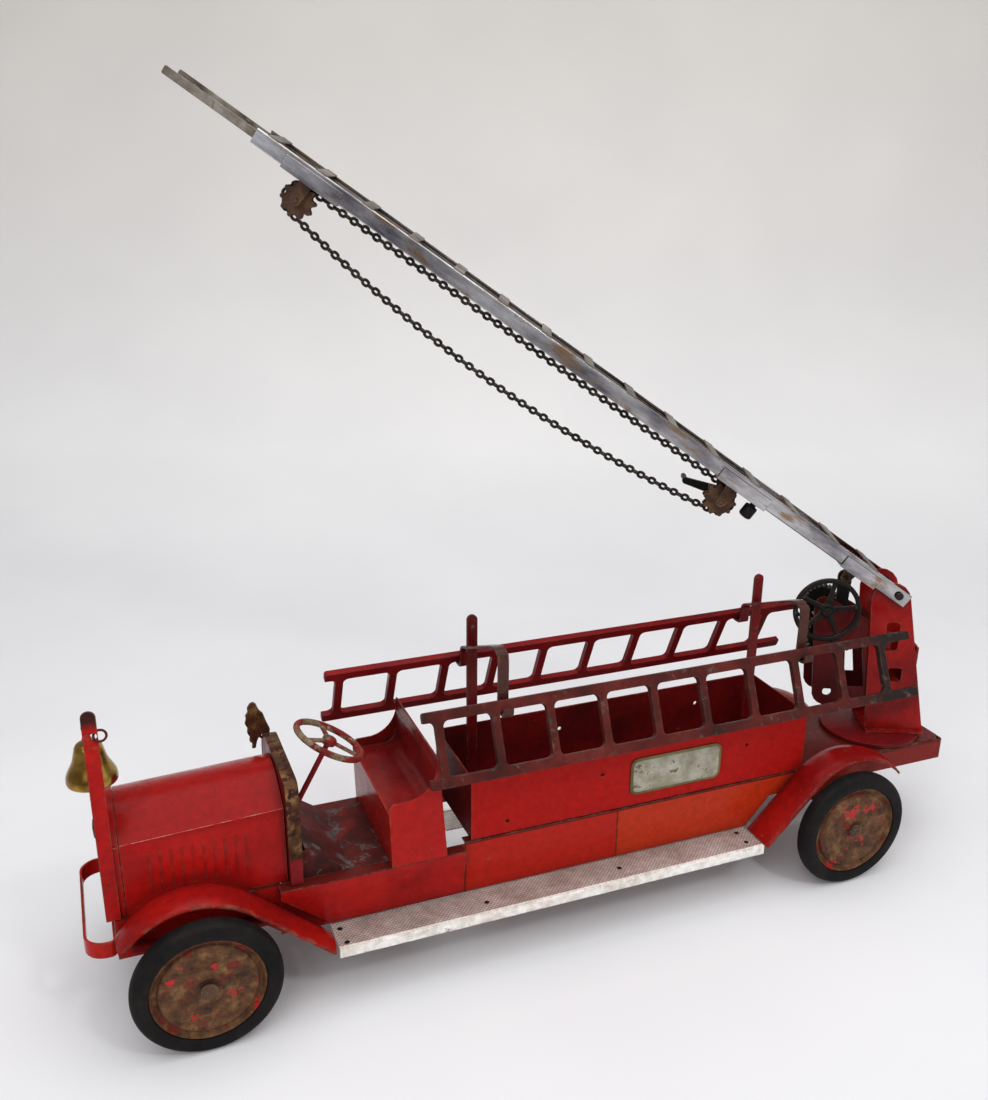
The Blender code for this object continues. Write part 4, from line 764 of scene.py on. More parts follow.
def tyreProfile():
    half = wheelSize["width"] / 2
    seat = wheelSize["rim"] + 0.0002
    profile = [(seat, -half + 0.0008), (seat + 0.0012, -half)]
    centre = wheelSize["tyre"] - 0.0062
    for turn in range(-82, 83, 12):
        a = math.radians(turn)
        profile.append((centre + 0.0062 * math.cos(a), half * math.copysign(abs(math.sin(a)) ** 0.72, a)))
    return profile + [(seat + 0.0012, half), (seat, half - 0.0008)]


def discProfile():
    face = [(0.0412, 0.0060), (0.0404, 0.0066), (0.0396, 0.0058), (0.0390, 0.0036), (0.0374, 0.0026),
            (0.0360, 0.0028)]
    face += [(0.0351, 0.0050), (0.0340, 0.0057), (0.0300, 0.0055), (0.0200, 0.0047), (0.0125, 0.0045)]
    face += [(0.0113, 0.0058), (0.0101, 0.0064), (0.0092, 0.0058), (0.0036, 0.0062)]
    back = [(0.0036, -0.0084), (0.0088, -0.0084), (0.0096, -0.0020), (0.0120, 0.0012), (0.0300, 0.0022)]
    back += [(0.0345, 0.0010), (0.0375, -0.0058), (0.0412, -0.0058)]
    return face + back


for end, x, body in (("front", front, "front_axle"), ("rear", rear, "vehicle")):
    caps = []
    for label, side in (("left", 1), ("right", -1)):
        hub = (x, side * wheelSize["faceY"], wheelSize["height"])
        place = f"{end}_{label}"
        wheelBody = f"wheel_{place}"
        disc = turned(discProfile(), (0, side, 0), hub, wheelSize["sides"], closed=True)
        makePiece(f"wheelDisc_{place}", disc, finishes["wheel"], wheelBody, angle=50,
                  instead=(f"wheel_disc_{place}",))
        tyre = turned(tyreProfile(), (0, side, 0), hub, wheelSize["sides"], closed=True)
        makePiece(f"rubberTyre_{place}", tyre, finishes["rubber"], wheelBody, angle=50,
                  instead=(f"tyre_{place}",))
        outer = (x, side * 0.0909, wheelSize["height"])
        cap = [(0, 0), (0.0062, 0), (0.0062, 0.0010), (0.0050, 0.0016), (0.0040, 0.0018), (0.0036, 0.0027)]
        cap += [(0.0024, 0.0032), (0, 0.0034)]
        caps.append(turned(cap, (0, side, 0), outer, 28))
        collar = (x, side * 0.0705, wheelSize["height"])
        caps.append(turned([(0, 0), (0.0058, 0), (0.0065, 0.0007), (0.0065, 0.0033), (0.0058, 0.0040),
                            (0, 0.0040)],
                           (0, side, 0), collar, 28))
    caps.append(rod((x, -0.092, wheelSize["height"]), (x, 0.092, wheelSize["height"]), wheelSize["axle"], 28))
    if end == "front":
        caps.append(prism(roundedBox((x - 0.0070, 0.0480), (x + 0.0070, 0.0620), 0.0030), "XZ", -0.034,
                          0.034))
        caps.append(rod((x, 0, 0.060), (x, 0, 0.0775), 0.0032))
        caps.append(rod((x, 0, 0.0620), (x, 0, 0.0694), 0.0080, ease=0.0006))
    makePiece(f"axle_{end}", together(caps), finishes["rust"], body, instead=(f"{end}_axle",))
print("wheels done")

# Mudguards, running boards, bumper and springs
guard = {"radius": 0.064, "sheet": 0.0012, "inner": 0.0449, "outer": 0.0780, "bead": 0.0009}


def guardPath(centreX, first, footX, tangent, direction):
    stations = []
    for i in range(37):
        a = math.radians(first + (tangent - first) * i / 36)
        out = (direction * math.cos(a), math.sin(a))
        stations.append((centreX + guard["radius"] * out[0], 0.054 + guard["radius"] * out[1], *out))
    last = stations[-1]
    for i in range(1, 9):
        share = i / 8
        stations.append((last[0] + (footX - last[0]) * share, last[1] + (0.0502 - last[1]) * share,
                         *last[2:]))
    return stations


def guardShape(path, side):
    crown = [(guard["inner"], -0.0040), (0.0475, -0.0030), (0.0510, -0.0016), (0.0550, -0.0006),
             (0.0600, 0.0)]
    crown += [(0.0655, 0.0), (0.0700, -0.0005), (0.0740, -0.0014), (0.0765, -0.0022), (0.0779, -0.0032)]
    loops = []
    for x, z, outX, outZ in path:
        top = [(x + outX * o, side * y, z + outZ * o) for y, o in crown]
        under = [(x + outX * (o - guard["sheet"]), side * (y - 0.0003),
                  z + outZ * (o - guard["sheet"])) for y, o in crown]
        loops.append(top + under[::-1])
    return loft(loops)


def guardBead(path, side):
    # The rolled edge along the outside.
    loops = []
    for x, z, outX, outZ in path:
        centre = Vector((x + outX * -0.0030, side * 0.0769, z + outZ * -0.0030))
        out = Vector((outX, 0, outZ)) * guard["bead"]
        across = Vector((0, side, 0)) * guard["bead"]
        loops.append([tuple(centre + out * math.cos(a) + across * math.sin(a))
                      for a in [math.radians(45 * k) for k in range(8)]])
    return loft(loops)


guards = {
    "front": guardPath(front + 0.005, 34, front - 0.0968, 131.5, 1),
    "rear": guardPath(rear - 0.008, 41, front - 0.4762, 138, -1),
}
for label, side in (("left", 1), ("right", -1)):
    for end, path in guards.items():
        shape = together([guardShape(path, side), guardBead(path, side)])
        makePiece(f"mudguard_{end}_{label}", shape, finishes["guard"], "vehicle", angle=50,
                  instead=(f"fender_{end}_{label}",))

board = {"front": front - 0.0975, "rear": front - 0.4755, "top": 0.050, "sheet": 0.0012, "edge": 0.0765,
         "lip": 0.042}
boardHoles = [(0.1034, 0.053), (0.1047, 0.070), (0.221, 0.063), (0.342, 0.060), (0.464, 0.051),
              (0.464, 0.066)]
for label, side in (("left", 1), ("right", -1)):
    deck = [(0.0449, board["top"] - board["sheet"]), (board["edge"] - 0.0014, board["top"] - board["sheet"]),
            (board["edge"] - 0.0014, board["top"]), (0.0449, board["top"])]
    deck = prism([(side * y, z) for y, z in deck], "YZ", board["rear"], board["front"])
    makePiece(f"treadBoard_{label}", deck, finishes["tread"], "vehicle", bevel=0.0003,
              instead=(f"running_board_{label}",))
    lip = [(board["edge"] - 0.0012, board["lip"]), (board["edge"] + 0.0004, board["lip"] + 0.0002),
           (board["edge"] + 0.0004, board["top"] - 0.0006), (board["edge"] - 0.0002, board["top"] + 0.0003),
           (board["edge"] - 0.0030, board["top"] + 0.0004), (board["edge"] - 0.0030, board["top"] - 0.0008),
           (board["edge"] - 0.0012, board["top"] - 0.0010)]
    lip = prism([(side * y, z) for y, z in lip], "YZ", board["rear"], board["front"])
    makePiece(f"boardLip_{label}", lip, finishes["lip"], "vehicle", bevel=0.00015,
              instead=(f"running_board_{label}",))
    heads = []
    for x, y in boardHoles:
        profile = [(0, -0.0006), (0.0021, -0.0006), (0.0021, 0.0001), (0.0016, 0.0004), (0, 0.0002)]
        heads.append(turned(profile, (0, 0, 1), (front - x, side * y, board["top"]), 16))
    makePiece(f"boardRivets_{label}", together(heads), finishes["black"], "vehicle")

bumperSize = {"reach": 0.054, "corner": 0.014, "front": front + 0.078, "back": front + 0.0582, "half": 0.0009,
              "low": 0.0735, "high": 0.0862}


def bumperShape():
    s = bumperSize
    outline = [(s["back"], 0.030), (s["back"], 0.040)]
    outline += arcPoints((s["back"] + 0.003, s["reach"] - 0.003), 0.003, 180, 90, 6)
    outline += arcPoints((s["front"] - s["corner"], s["reach"] - s["corner"]), s["corner"], 90, 0, 14)
    outline += [(x, -y) for x, y in outline[::-1]]
    loops = []
    for i, point in enumerate(outline):
        before = Vector(outline[max(i - 1, 0)])
        after = Vector(outline[min(i + 1, len(outline) - 1)])
        run = (after - before).normalized()
        out = Vector((-run.y, run.x)) * s["half"]
        near = (point[0] + out.x, point[1] + out.y)
        far = (point[0] - out.x, point[1] - out.y)
        loops.append([(*near, s["low"]), (*far, s["low"]), (*far, s["high"]), (*near, s["high"])])
    return loft(loops)


makePiece("bumperStrap", bumperShape(), finishes["enamel"], "vehicle", bevel=0.0004,
          instead=("front_bumper",))
for label, side in (("left", 1), ("right", -1)):
    loops = []
    for i in range(33):
        share = i / 32
        x = front + 0.0478 - 0.0956 * share
        z = 0.0740 - 0.0060 * math.sin(math.pi * share)
        half = 0.0026 + 0.0013 * max(0.0, 1 - min(share, 1 - share) * 14)
        ends = [(side * y, h) for y, h in roundedBox((0.0450, z - half), (0.0535, z + half), 0.0011, 3)]
        loops.append([(x, y, h) for y, h in ends])
    makePiece(f"leafSpring_{label}", loft(loops), finishes["maroon"], "vehicle", angle=45,
              instead=(f"front_spring_{label}",))
print("mudguards and boards done")

# Bonnet, radiator and bell
bonnet = {"front": front + 0.048, "rear": front - 0.068, "half": 0.042, "foot": 0.0958, "sheet": 0.0012}


def bonnetOutline(shoulder, ridge, inset, foot=None):
    half = bonnet["half"] - inset
    foot = bonnet["foot"] if foot is None else foot
    turn = arcPoints((half - 0.0042, shoulder - 0.0034 - inset), 0.0042, 0, 62, 5)
    crown = []
    start = turn[-1]
    for i in range(1, 8):
        share = i / 8
        y = start[0] * (1 - share)
        crown.append((y, start[1] + (ridge - inset - start[1]) * (1 - (1 - share) ** 1.7)))
    left = [(half, foot), *turn, *crown]
    return left + [(0.0, ridge - inset)] + [(-y, z) for y, z in left[::-1]]


loops = []
for i in range(9):
    share = i / 8
    x = bonnet["front"] + (bonnet["rear"] - bonnet["front"]) * share
    outer = bonnetOutline(0.1545 + 0.005 * share, 0.172 + 0.005 * share, 0.0)
    inner = bonnetOutline(0.1545 + 0.005 * share, 0.172 + 0.005 * share, bonnet["sheet"])
    loops.append([(x, y, z) for y, z in outer + inner[::-1]])
makePiece("bonnetSheet", loft(loops), finishes["hood"], "vehicle", angle=50, instead=("hood",))

louvre = {"count": 10, "first": front + 0.029, "step": -0.0076, "low": 0.112, "high": 0.144}
for label, side in (("left", 1), ("right", -1)):
    slat = roundedBox((-0.0009, louvre["low"]), (0.0009, louvre["high"]), 0.0008, 3)
    slat = prism(slat, "XZ", side * 0.0416, side * 0.0423)
    arranged(f"louvres_{label}", "row", {"Count": louvre["count"], "Start": (louvre["first"], 0, 0),
             "Step": (louvre["step"], 0, 0)}, slat, finishes["louvre"], "vehicle", bevel=0.0003)


def radiatorWindow(inset):
    outline = bonnetOutline(0.1552, 0.1732, inset)
    return [(outline[0][0], 0.0958 + inset), *outline[1:-1], (outline[-1][0], 0.0958 + inset)]


shellBack, shellFront = front + 0.0483, front + 0.0562
shell = prism(bonnetOutline(0.1552, 0.1732, -0.0006), "YZ", shellBack, shellFront)
shell = cutPiece(shell, [prism(radiatorWindow(0.0055), "YZ", shellBack - 0.001, shellFront + 0.001)])
collar = cutPiece(prism(bonnetOutline(0.1545, 0.172, 0.0015), "YZ", bonnet["front"] - 0.004,
                        shellBack + 0.001),
                  [prism(bonnetOutline(0.1545, 0.172, 0.0027, 0.090), "YZ", bonnet["front"] - 0.006,
                         shellBack + 0.003)])
makePiece("radiatorShell", together([shell, collar]), finishes["hood"], "vehicle",
          bevel=0.0008, instead=("radiator_shell",))
grille = [prism(radiatorWindow(0.0061), "YZ", shellBack + 0.0005, shellFront - 0.0036)]
makePiece("radiatorCore", together(grille), finishes["black"], "vehicle",
          instead=("radiator_core",))
fin = block((shellFront - 0.0038, -0.0355, 0.1018), (shellFront - 0.0022, 0.0355, 0.1024))
arranged("radiatorFins", "row", {"Count": 18, "Start": (0, 0, 0), "Step": (0, 0, 0.0026)}, fin,
         finishes["black"],
         "vehicle")
boss = [(0, 0), (0.0025, 0), (0.0025, 0.0058), (0.0066, 0.0062), (0.0075, 0.0070), (0.0075, 0.0086),
        (0.0064, 0.0094)]
boss += [(0, 0.0100)]
makePiece("radiatorBoss", turned(boss, (1, 0, 0), (front + 0.0545, 0, 0.1465), 40), finishes["black"],
          "vehicle",
          instead=("radiator_boss",))

strapX = front + 0.0572
bends = [(0, 0.0440, 0.0960), (0, 0.0440, 0.1540), (0, 0.0438, 0.1620), (0, 0.0428, 0.1720),
         (0, 0.0425, 0.1780)]
bends += [(0, 0.0425, 0.2280), (0, 0.0418, 0.2330), (0, 0.0395, 0.2430), (0, 0.0390, 0.2470),
          (0, 0.0390, 0.2545)]
path = [(strapX, y, z, 1.0) for _, y, z in smoothPath(bends, 4)]
for turn in range(8, 89, 10):
    a = math.radians(turn)
    path.append((strapX, 0.0390, 0.2545 + 0.0050 * math.sin(a), max(math.cos(a), 0.05)))
strapHole = rod((strapX - 0.0020, 0.03, 0.241), (strapX - 0.0020, 0.05, 0.241), 0.0025, 24)
strapShape = cutPiece(sweptStrap(path, 0.0050, 0.0009), [strapHole])
bellPin = [rod((front + 0.0595, 0.0165, 0.2405), (front + 0.0595, 0.0425, 0.2405), 0.0013, 20),
           turned([(0, 0), (0.0022, 0), (0.0024, 0.0006), (0.0018, 0.0013), (0, 0.0015)], (0, -1, 0),
                  (front + 0.0595, 0.0172, 0.2405), 20),
           turned([(0, 0), (0.0032, 0), (0.0030, 0.0008), (0.0018, 0.0015), (0, 0.0017)], (0, 1, 0),
                  (front + 0.0595, 0.0408, 0.2405), 20)]
makePiece("bellStrap", together([strapShape, *bellPin]), finishes["strap"], "vehicle",
          bevel=0.0003,
          instead=("bell_strap",))

hang = Vector((front + 0.0595, 0.0235, 0.2405))
bellOuter = [(0.0166, -0.0412), (0.0172, -0.0408), (0.0175, -0.0399), (0.0175, -0.0385), (0.0173, -0.0366)]
bellOuter += [(0.0168, -0.0346), (0.0158, -0.0325), (0.0145, -0.0300), (0.0131, -0.0273), (0.0120, -0.0247)]
bellOuter += [(0.0112, -0.0220), (0.0106, -0.0194), (0.0100, -0.0168), (0.0094, -0.0146), (0.0085, -0.0130)]
bellOuter += [(0.0070, -0.0119), (0.0050, -0.0113), (0.0028, -0.0111), (0, -0.0110)]
bellInner = [(0, -0.0132), (0.0050, -0.0136), (0.0072, -0.0150), (0.0084, -0.0176), (0.0094, -0.0220),
             (0.0112, -0.0272)]
bellInner += [(0.0130, -0.0305), (0.0148, -0.0335), (0.0158, -0.0368), (0.0160, -0.0405)]
bellShapes = [turned(bellInner + bellOuter, (0, 0, 1), hang, 64),
              rod(hang + Vector((0, 0, -0.0118)), hang + Vector((0, 0, -0.0030)), 0.0020),
              turned([(0.0017, -0.0016), (0.0030, -0.0016), (0.0034, -0.0010), (0.0034, 0.0010),
                      (0.0030, 0.0016),
                      (0.0017, 0.0016)], (0, 1, 0), hang, 28, closed=True)]
makePiece("brassBell", together(bellShapes), finishes["brass"], "bell", angle=50,
          instead=("bell",))
ringCentre = Vector((front + 0.0552 - 0.0042, 0.0400, 0.2410))
makePiece("wireRing", hoop(ringCentre, (0, 0.62, 0.78), 0.0042, 0.0009, 40, 10), finishes["darkMaroon"],
          "vehicle",
          instead=("pull_ring",))
print("bonnet and bell done")

# Cab
dash = {"front": front - 0.0688, "depth": 0.0095, "half": 0.050, "top": 0.182, "corner": 0.010,
        "farCorner": 0.022, "sheet": 0.0014}


def dashOutline(inset, foot=0.0958):
    # The right top corner is rounded more than the left one.
    half, top = dash["half"] - inset, dash["top"] - inset
    small, large = dash["corner"] - inset / 2, dash["farCorner"] - inset / 2
    left = arcPoints((half - small, top - small), small, 0, 90, 8)
    right = arcPoints((large - half, top - large), large, 90, 180, 14)
    return [(half, foot), *left, *right, (-half, foot)]


panel = prism(dashOutline(0), "YZ", dash["front"] - dash["depth"], dash["front"])
hollow = [(y, z - 0.002 if z < 0.10 else z) for y, z in dashOutline(dash["sheet"])]
cuts = [prism(hollow, "YZ", dash["front"] - dash["depth"] - 0.001, dash["front"] - dash["sheet"]),
        rod((dash["front"] - 0.010, 0.022, 0.1430), (dash["front"] + 0.010, 0.022, 0.1070), 0.0028)]
makePiece("dashPanel", cutPiece(panel, cuts), finishes["maroon"], "vehicle", bevel=0.0005,
          instead=("dash_panel",))

band = prism(dashOutline(-0.0003, 0.118), "YZ", dash["front"] - dash["depth"] - 0.0002,
             dash["front"] + 0.0003)
inside = [prism(dashOutline(0.0012, 0.110), "YZ", dash["front"] - dash["depth"] - 0.001,
                dash["front"] + 0.001)]
makePiece("dashBand", cutPiece(band, inside), finishes["gilt"], "vehicle", bevel=0.0003)
torn = [(0.0084, 0.1648), (0.0079, 0.1692), (0.0102, 0.1716), (0.0094, 0.1748), (0.0114, 0.1790),
        (0.0108, 0.1832)]
torn += [(0.0128, 0.1872), (0.0116, 0.1908), (0.0121, 0.1938), (0.0100, 0.1968), (0.0102, 0.2004),
         (0.0078, 0.2040)]
torn += [(0.0050, 0.2048), (0.0031, 0.2032), (0.0018, 0.1992), (0.0004, 0.1965), (-0.0018, 0.1943),
         (-0.0040, 0.1868)]
torn += [(-0.0065, 0.1800), (-0.0060, 0.1764), (0.0004, 0.1764), (0.0006, 0.1722), (0.0026, 0.1742),
         (0.0042, 0.1712)]
torn += [(0.0056, 0.1652)]
tornShape = prism([(dash["front"] + x, z) for x, z in torn], "XZ", -0.0472, -0.0436)
makePiece("tornBracket", tornShape, finishes["gilt"], "vehicle", bevel=0.0005,
          instead=("dash_bracket",))

# Sheet that closes the cab under the slope of the floor.
toe = {"low": front - 0.1158, "high": front - 0.0795, "half": 0.0430}
toeShapes = [block((toe["low"], -toe["half"], 0.0940), (front - 0.0625, toe["half"], 0.0952))]
for sign in (-1, 1):
    cheek = [(toe["low"], 0.0945), (toe["high"], 0.0945), (toe["high"], 0.1196), (front - 0.0826, 0.1196)]
    toeShapes.append(prism(cheek, "XZ", *sorted((sign * toe["half"], sign * (toe["half"] - 0.0010)))))
makePiece("toeSheet", together(toeShapes), finishes["floor"], "vehicle")

seatX = front - 0.146
rise = arcPoints((seatX - 0.0115, 0.1770), 0.0255, 270, 180, 12)
seatSide = [(seatX, 0.0958), (seatX + 0.0015, 0.1470), (seatX - 0.0002, 0.1500), (seatX - 0.0020, 0.1515)]
seatSide += [(x, z) for x, z in rise if z > 0.1517]
seatSide += [(seatX - 0.0372, 0.1838), (seatX - 0.0385, 0.1840), (seatX - 0.0450, 0.0958)]
seatHalf, seatIn = 0.055, 0.0538
bend = arcPoints((seatX - 0.0250, 0.1540), 0.0110, 270, 190, 10)
seatHollow = [(seatX + 0.010, 0.1430), (seatX + 0.010, 0.200), (seatX - 0.0366, 0.200),
              (seatX - 0.0368, 0.1700)]
seatHollow += bend[::-1]
seatUnder = [(seatX - 0.0012, 0.0938), (seatX - 0.0438, 0.0938), (seatX - 0.0396, 0.1650),
             (seatX - 0.0384, 0.1518)]
seatUnder += [*arcPoints((seatX - 0.0250, 0.1540), 0.0124, 198, 270, 8), (seatX - 0.0012, 0.1416)]
seatShape = cutPiece(prism(seatSide, "XZ", -seatHalf, seatHalf),
                     [prism(seatHollow, "XZ", -seatIn, seatIn), prism(seatUnder, "XZ", -seatIn, seatIn)])
makePiece("seatSheet", seatShape, finishes["seat"], "vehicle", bevel=0.0004, instead=("seat",))

steering = {"hub": Vector((front - 0.1085, 0.022, 0.197)), "down": Vector((0.485, 0, -0.874)).normalized(),
            "ring": 0.0268, "wire": 0.0025, "spokes": (30, 150, 270)}
hub, down = steering["hub"], steering["down"]
makePiece("steeringColumn", rod(hub + down * 0.098, hub + down * 0.0035, 0.0021), finishes["maroon"],
          "vehicle",
          instead=("steering_column",))
helm = facing(-down, hub)
helmParts = [hoop(hub, -down, steering["ring"], steering["wire"], 72, 14),
             turned([(0, -0.0030), (0.0050, -0.0030), (0.0056, -0.0022), (0.0056, 0.0018), (0.0046, 0.0028),
                     (0.0020, 0.0034), (0, 0.0036)], -down, hub, 36)]
for turn in steering["spokes"]:
    reach = Vector((math.cos(math.radians(turn)), math.sin(math.radians(turn)), 0))
    across = Vector((-reach.y, reach.x, 0))
    loops = []
    for distance, half in ((0.003, 0.0024), (0.008, 0.0021), (0.018, 0.0020), (0.0262, 0.0026)):
        flat = [(-1.0, -0.5), (-0.7, -1.0), (0.7, -1.0), (1.0, -0.5), (1.0, 0.5), (0.7, 1.0), (-0.7, 1.0),
                (-1.0, 0.5)]
        loops.append([tuple(helm @ (reach * distance + across * half * u + Vector((0, 0, 0.0011 * v))))
                      for u, v in flat])
    helmParts.append(loft(loops))
makePiece("steeringRing", together(helmParts), finishes["helm"], "steering_wheel",
          angle=50,
          instead=("steering_wheel",))
print("cab done")

# Ladder bed, plates, hangers and side ladders
plateSize = {"x": front - 0.401, "half": 0.044, "low": 0.1075, "high": 0.1415, "corner": 0.007, "y": 0.0437}
for label, side in (("left", 1), ("right", -1)):
    s = plateSize
    outline = roundedBox((s["x"] - s["half"], s["low"]), (s["x"] + s["half"], s["high"]), s["corner"], 6)
    inner = roundedBox((s["x"] - s["half"] + 0.0022, s["low"] + 0.0022),
                       (s["x"] + s["half"] - 0.0022, s["high"] - 0.0022),
                       s["corner"] - 0.002, 6)
    edges = sorted((side * s["y"], side * (s["y"] + 0.0008)))
    makePiece(f"plateEdge_{label}", prism(outline, "XZ", *edges), finishes["olive"], "vehicle",
              bevel=0.0002, instead=(f"side_plate_{label}",))
    edges = sorted((side * (s["y"] + 0.0002), side * (s["y"] + 0.0010)))
    makePiece(f"plateFace_{label}", prism(inner, "XZ", *edges), finishes["plate"], "vehicle",
              bevel=0.0002, instead=(f"side_plate_{label}",))

railTop, railBottom = Vector((0, 0.0483, 0.216)), Vector((0, 0.0685, 0.170))


def hookPoints(side, top):
    inside, outside, low = railTop.y - 0.0056, railTop.y + 0.0060, railTop.z - 0.0072
    points = [(inside, top), (inside, low + 0.0030), (inside + 0.0007, low + 0.0009), (inside + 0.0028, low)]
    points += [(outside - 0.0028, low), (outside - 0.0007, low + 0.0009), (outside, low + 0.0030),
               (outside, low + 0.0068)]
    return [(side * y, z) for y, z in points]


for label, x in (("front", front - 0.241), ("rear", front - 0.518)):
    half, postY, top, base = 0.0045, -0.026, 0.2575, 0.0988
    upright = [(x - half, base), (x + half, base), *arcPoints((x, top), half, 0, 180, 14)]
    post = prism(upright, "XZ", postY - 0.0012, postY + 0.0012)
    over = [(-0.0400, 0.2275), (-0.0260, 0.2330), (0.0180, 0.2520), (0.0320, 0.2570), (0.0390, 0.2555)]
    route = hookPoints(-1, 0.2200)[::-1] + over + hookPoints(1, 0.2500)
    arm = sweptStrap([(x, y, z, 1.0) for _, y, z in smoothPath([(0, y, z) for y, z in route], 4)],
                     half - 0.0001, 0.0010)
    foot = block((x - 0.0080, postY - 0.0090, base), (x + 0.0080, postY + 0.0090, base + 0.0016))
    rivet = turned([(0, 0), (0.0022, 0), (0.0018, 0.0008), (0, 0.0012)], (0, -1, 0),
                   (x, postY - 0.0018, 0.2345), 16)
    makePiece(f"hanger_{label}", together([post, arm, foot, rivet]), finishes["hanger"], "vehicle",
              bevel=0.0003, instead=(f"ladder_hanger_{label}",))

sideLadder = {"length": 0.455, "rungs": 10, "pitch": 0.0457, "rail": 0.0040, "thick": 0.0028, "rung": 0.0033,
              "fillet": 0.0045}


def sideLadderShape(side, frontX):
    s = sideLadder
    across = railTop - railBottom
    width = across.length
    rearX = frontX - s["length"]
    plate = roundedBox((rearX, -s["rail"]), (frontX, width + s["rail"]), 0.0022, 4)
    places = [frontX - 0.0125 - s["pitch"] * i for i in range(s["rungs"])]
    spans = [(b + s["rung"], a - s["rung"]) for a, b in zip(places, places[1:])]
    spans += [(places[0] + s["rung"], frontX + 0.02), (rearX - 0.02, places[-1] - s["rung"])]
    cutters = []
    for start, end in spans:
        window = roundedBox((start, s["rail"]), (end, width - s["rail"]), s["fillet"], 5)
        cutters.append(prism(window, "XY", -0.01, 0.01))
    shape = cutPiece(prism(plate, "XY", -s["thick"], s["thick"]), cutters)
    up = across.normalized()
    out = Vector((1, 0, 0)).cross(up)
    lay = Matrix(((1, 0, 0, 0), (0, up.y, out.y, railBottom.y), (0, up.z, out.z, railBottom.z), (0, 0, 0, 1)))
    bmesh.ops.transform(shape, matrix=lay, verts=shape.verts)
    return mirrored(shape) if side < 0 else shape


makePiece("castLadder_left", sideLadderShape(1, front - 0.173), finishes["fadedPaint"], "side_ladder_left",
          bevel=0.0009, instead=("side_ladder_left",))
makePiece("castLadder_right", sideLadderShape(-1, front - 0.122), finishes["maroon"], "side_ladder_right",
          bevel=0.0009, instead=("side_ladder_right",))
print("ladder bed done")

# Turntable and raising gear, in the turntable's frame
tableProfile = [(0, 0.085), (0.0050, 0.085), (0.0050, 0.0985), (0.0460, 0.0985), (0.0465, 0.0990),
                (0.0465, 0.1018)]
tableProfile += [(0.0455, 0.1024), (0.0440, 0.1026), (0.0425, 0.1033), (0, 0.1033)]
makePiece("turntableDisc", turned(tableProfile, (0, 0, 1), (0, 0, 0), 96), finishes["maroon"], "turntable",
          table, instead=("turntable",))
pivot = Vector(layout["pivot"])
pin = [(0, -0.0278), (0.0030, -0.0278), (0.0036, -0.0273), (0.0036, -0.0268), (0.0030, -0.0268),
       (0.0030, 0.0268)]
pin += [(0.0036, 0.0268), (0.0036, 0.0273), (0.0030, 0.0278), (0, 0.0278)]
makePiece("pivotPin", turned(pin, (0, 1, 0), pivot, 32), finishes["black"], "turntable", table,
          instead=("ladder_pivot_pin",))

wheelAxis, gearAxis = Vector((0.061, 0, 0.229)), Vector((0.0482, 0, 0.1933))
gear = {"module": 0.0015, "pinionTeeth": 20, "gearTeeth": 30}


def gearOutline(centre, teeth, start):
    pitch = gear["module"] * teeth / 2
    root, tip = pitch - 1.25 * gear["module"], pitch + 0.85 * gear["module"]
    outline = []
    for tooth in range(teeth):
        for share, radius in ((-0.30, root), (-0.24, root + 0.0003), (-0.11, tip), (0.11, tip),
                              (0.24, root + 0.0003),
                              (0.30, root)):
            a = math.radians(start + (tooth + share) * 360 / teeth)
            outline.append((centre.x + radius * math.cos(a), centre.z + radius * math.sin(a)))
    return outline


toward = gearAxis - wheelAxis
heading = math.degrees(math.atan2(toward.z, toward.x))
side = Vector((0, 1, 0))
pinion = [prism(gearOutline(wheelAxis, gear["pinionTeeth"], heading), "XZ", -0.0035, 0.0035),
          rod(wheelAxis - side * 0.0205, wheelAxis + side * 0.0330, 0.0026, ease=0.0004)]
makePiece("pinionShaft", together(pinion), finishes["black"], "hand_wheel", table,
          bevel=0.0002,
          instead=("pinion_shaft",))
meshTurn = heading + 180 + 180 / gear["gearTeeth"]
wheelGear = [prism(gearOutline(gearAxis, gear["gearTeeth"], meshTurn), "XZ", -0.0030, 0.0030),
             rod(gearAxis - side * 0.0050, gearAxis + side * 0.0050, 0.0065, ease=0.0005),
             rod(gearAxis - side * 0.0205, gearAxis + side * 0.0205, 0.0026, ease=0.0004)]
makePiece("raisingGear", together(wheelGear), finishes["black"], "raising_gear", table,
          bevel=0.0002,
          instead=("raising_gear",))

handWheel = {"offset": 0.0285, "rim": 0.0284, "spokes": 5}
rimPlane = wheelAxis + side * handWheel["offset"]
rimSection = [(0.0262, -0.0010), (0.0268, -0.0016), (0.0298, -0.0016), (0.0306, -0.0009), (0.0306, 0.0009)]
rimSection += [(0.0298, 0.0016), (0.0268, 0.0016), (0.0262, 0.0010)]
helmShapes = [turned(rimSection, (0, 1, 0), rimPlane, 72, closed=True),
              turned([(0, -0.0024), (0.0062, -0.0024), (0.0068, -0.0018), (0.0068, 0.0020), (0.0058, 0.0030),
                      (0.0034, 0.0030), (0.0034, 0.0042), (0, 0.0044)], (0, 1, 0), rimPlane, 40)]
for turn in range(handWheel["spokes"]):
    a = math.radians(100 + 72 * turn)
    reach = Vector((math.cos(a), 0, math.sin(a)))
    across = Vector((-reach.z, 0, reach.x))
    loops = []
    for distance, half in ((0.0055, 0.0032), (0.0100, 0.0026), (0.0180, 0.0020), (0.0268, 0.0023)):
        centre = rimPlane + reach * distance
        thick = side * 0.0012
        loops.append([tuple(centre + across * half * u + thick * v) for u, v in
                      ((-1, -0.4), (-0.6, -1), (0.6, -1), (1, -0.4), (1, 0.4), (0.6, 1), (-0.6, 1),
                       (-1, 0.4))])
    helmShapes.append(loft(loops))
peg = rimPlane + Vector((0.0284, 0, -0.0010))
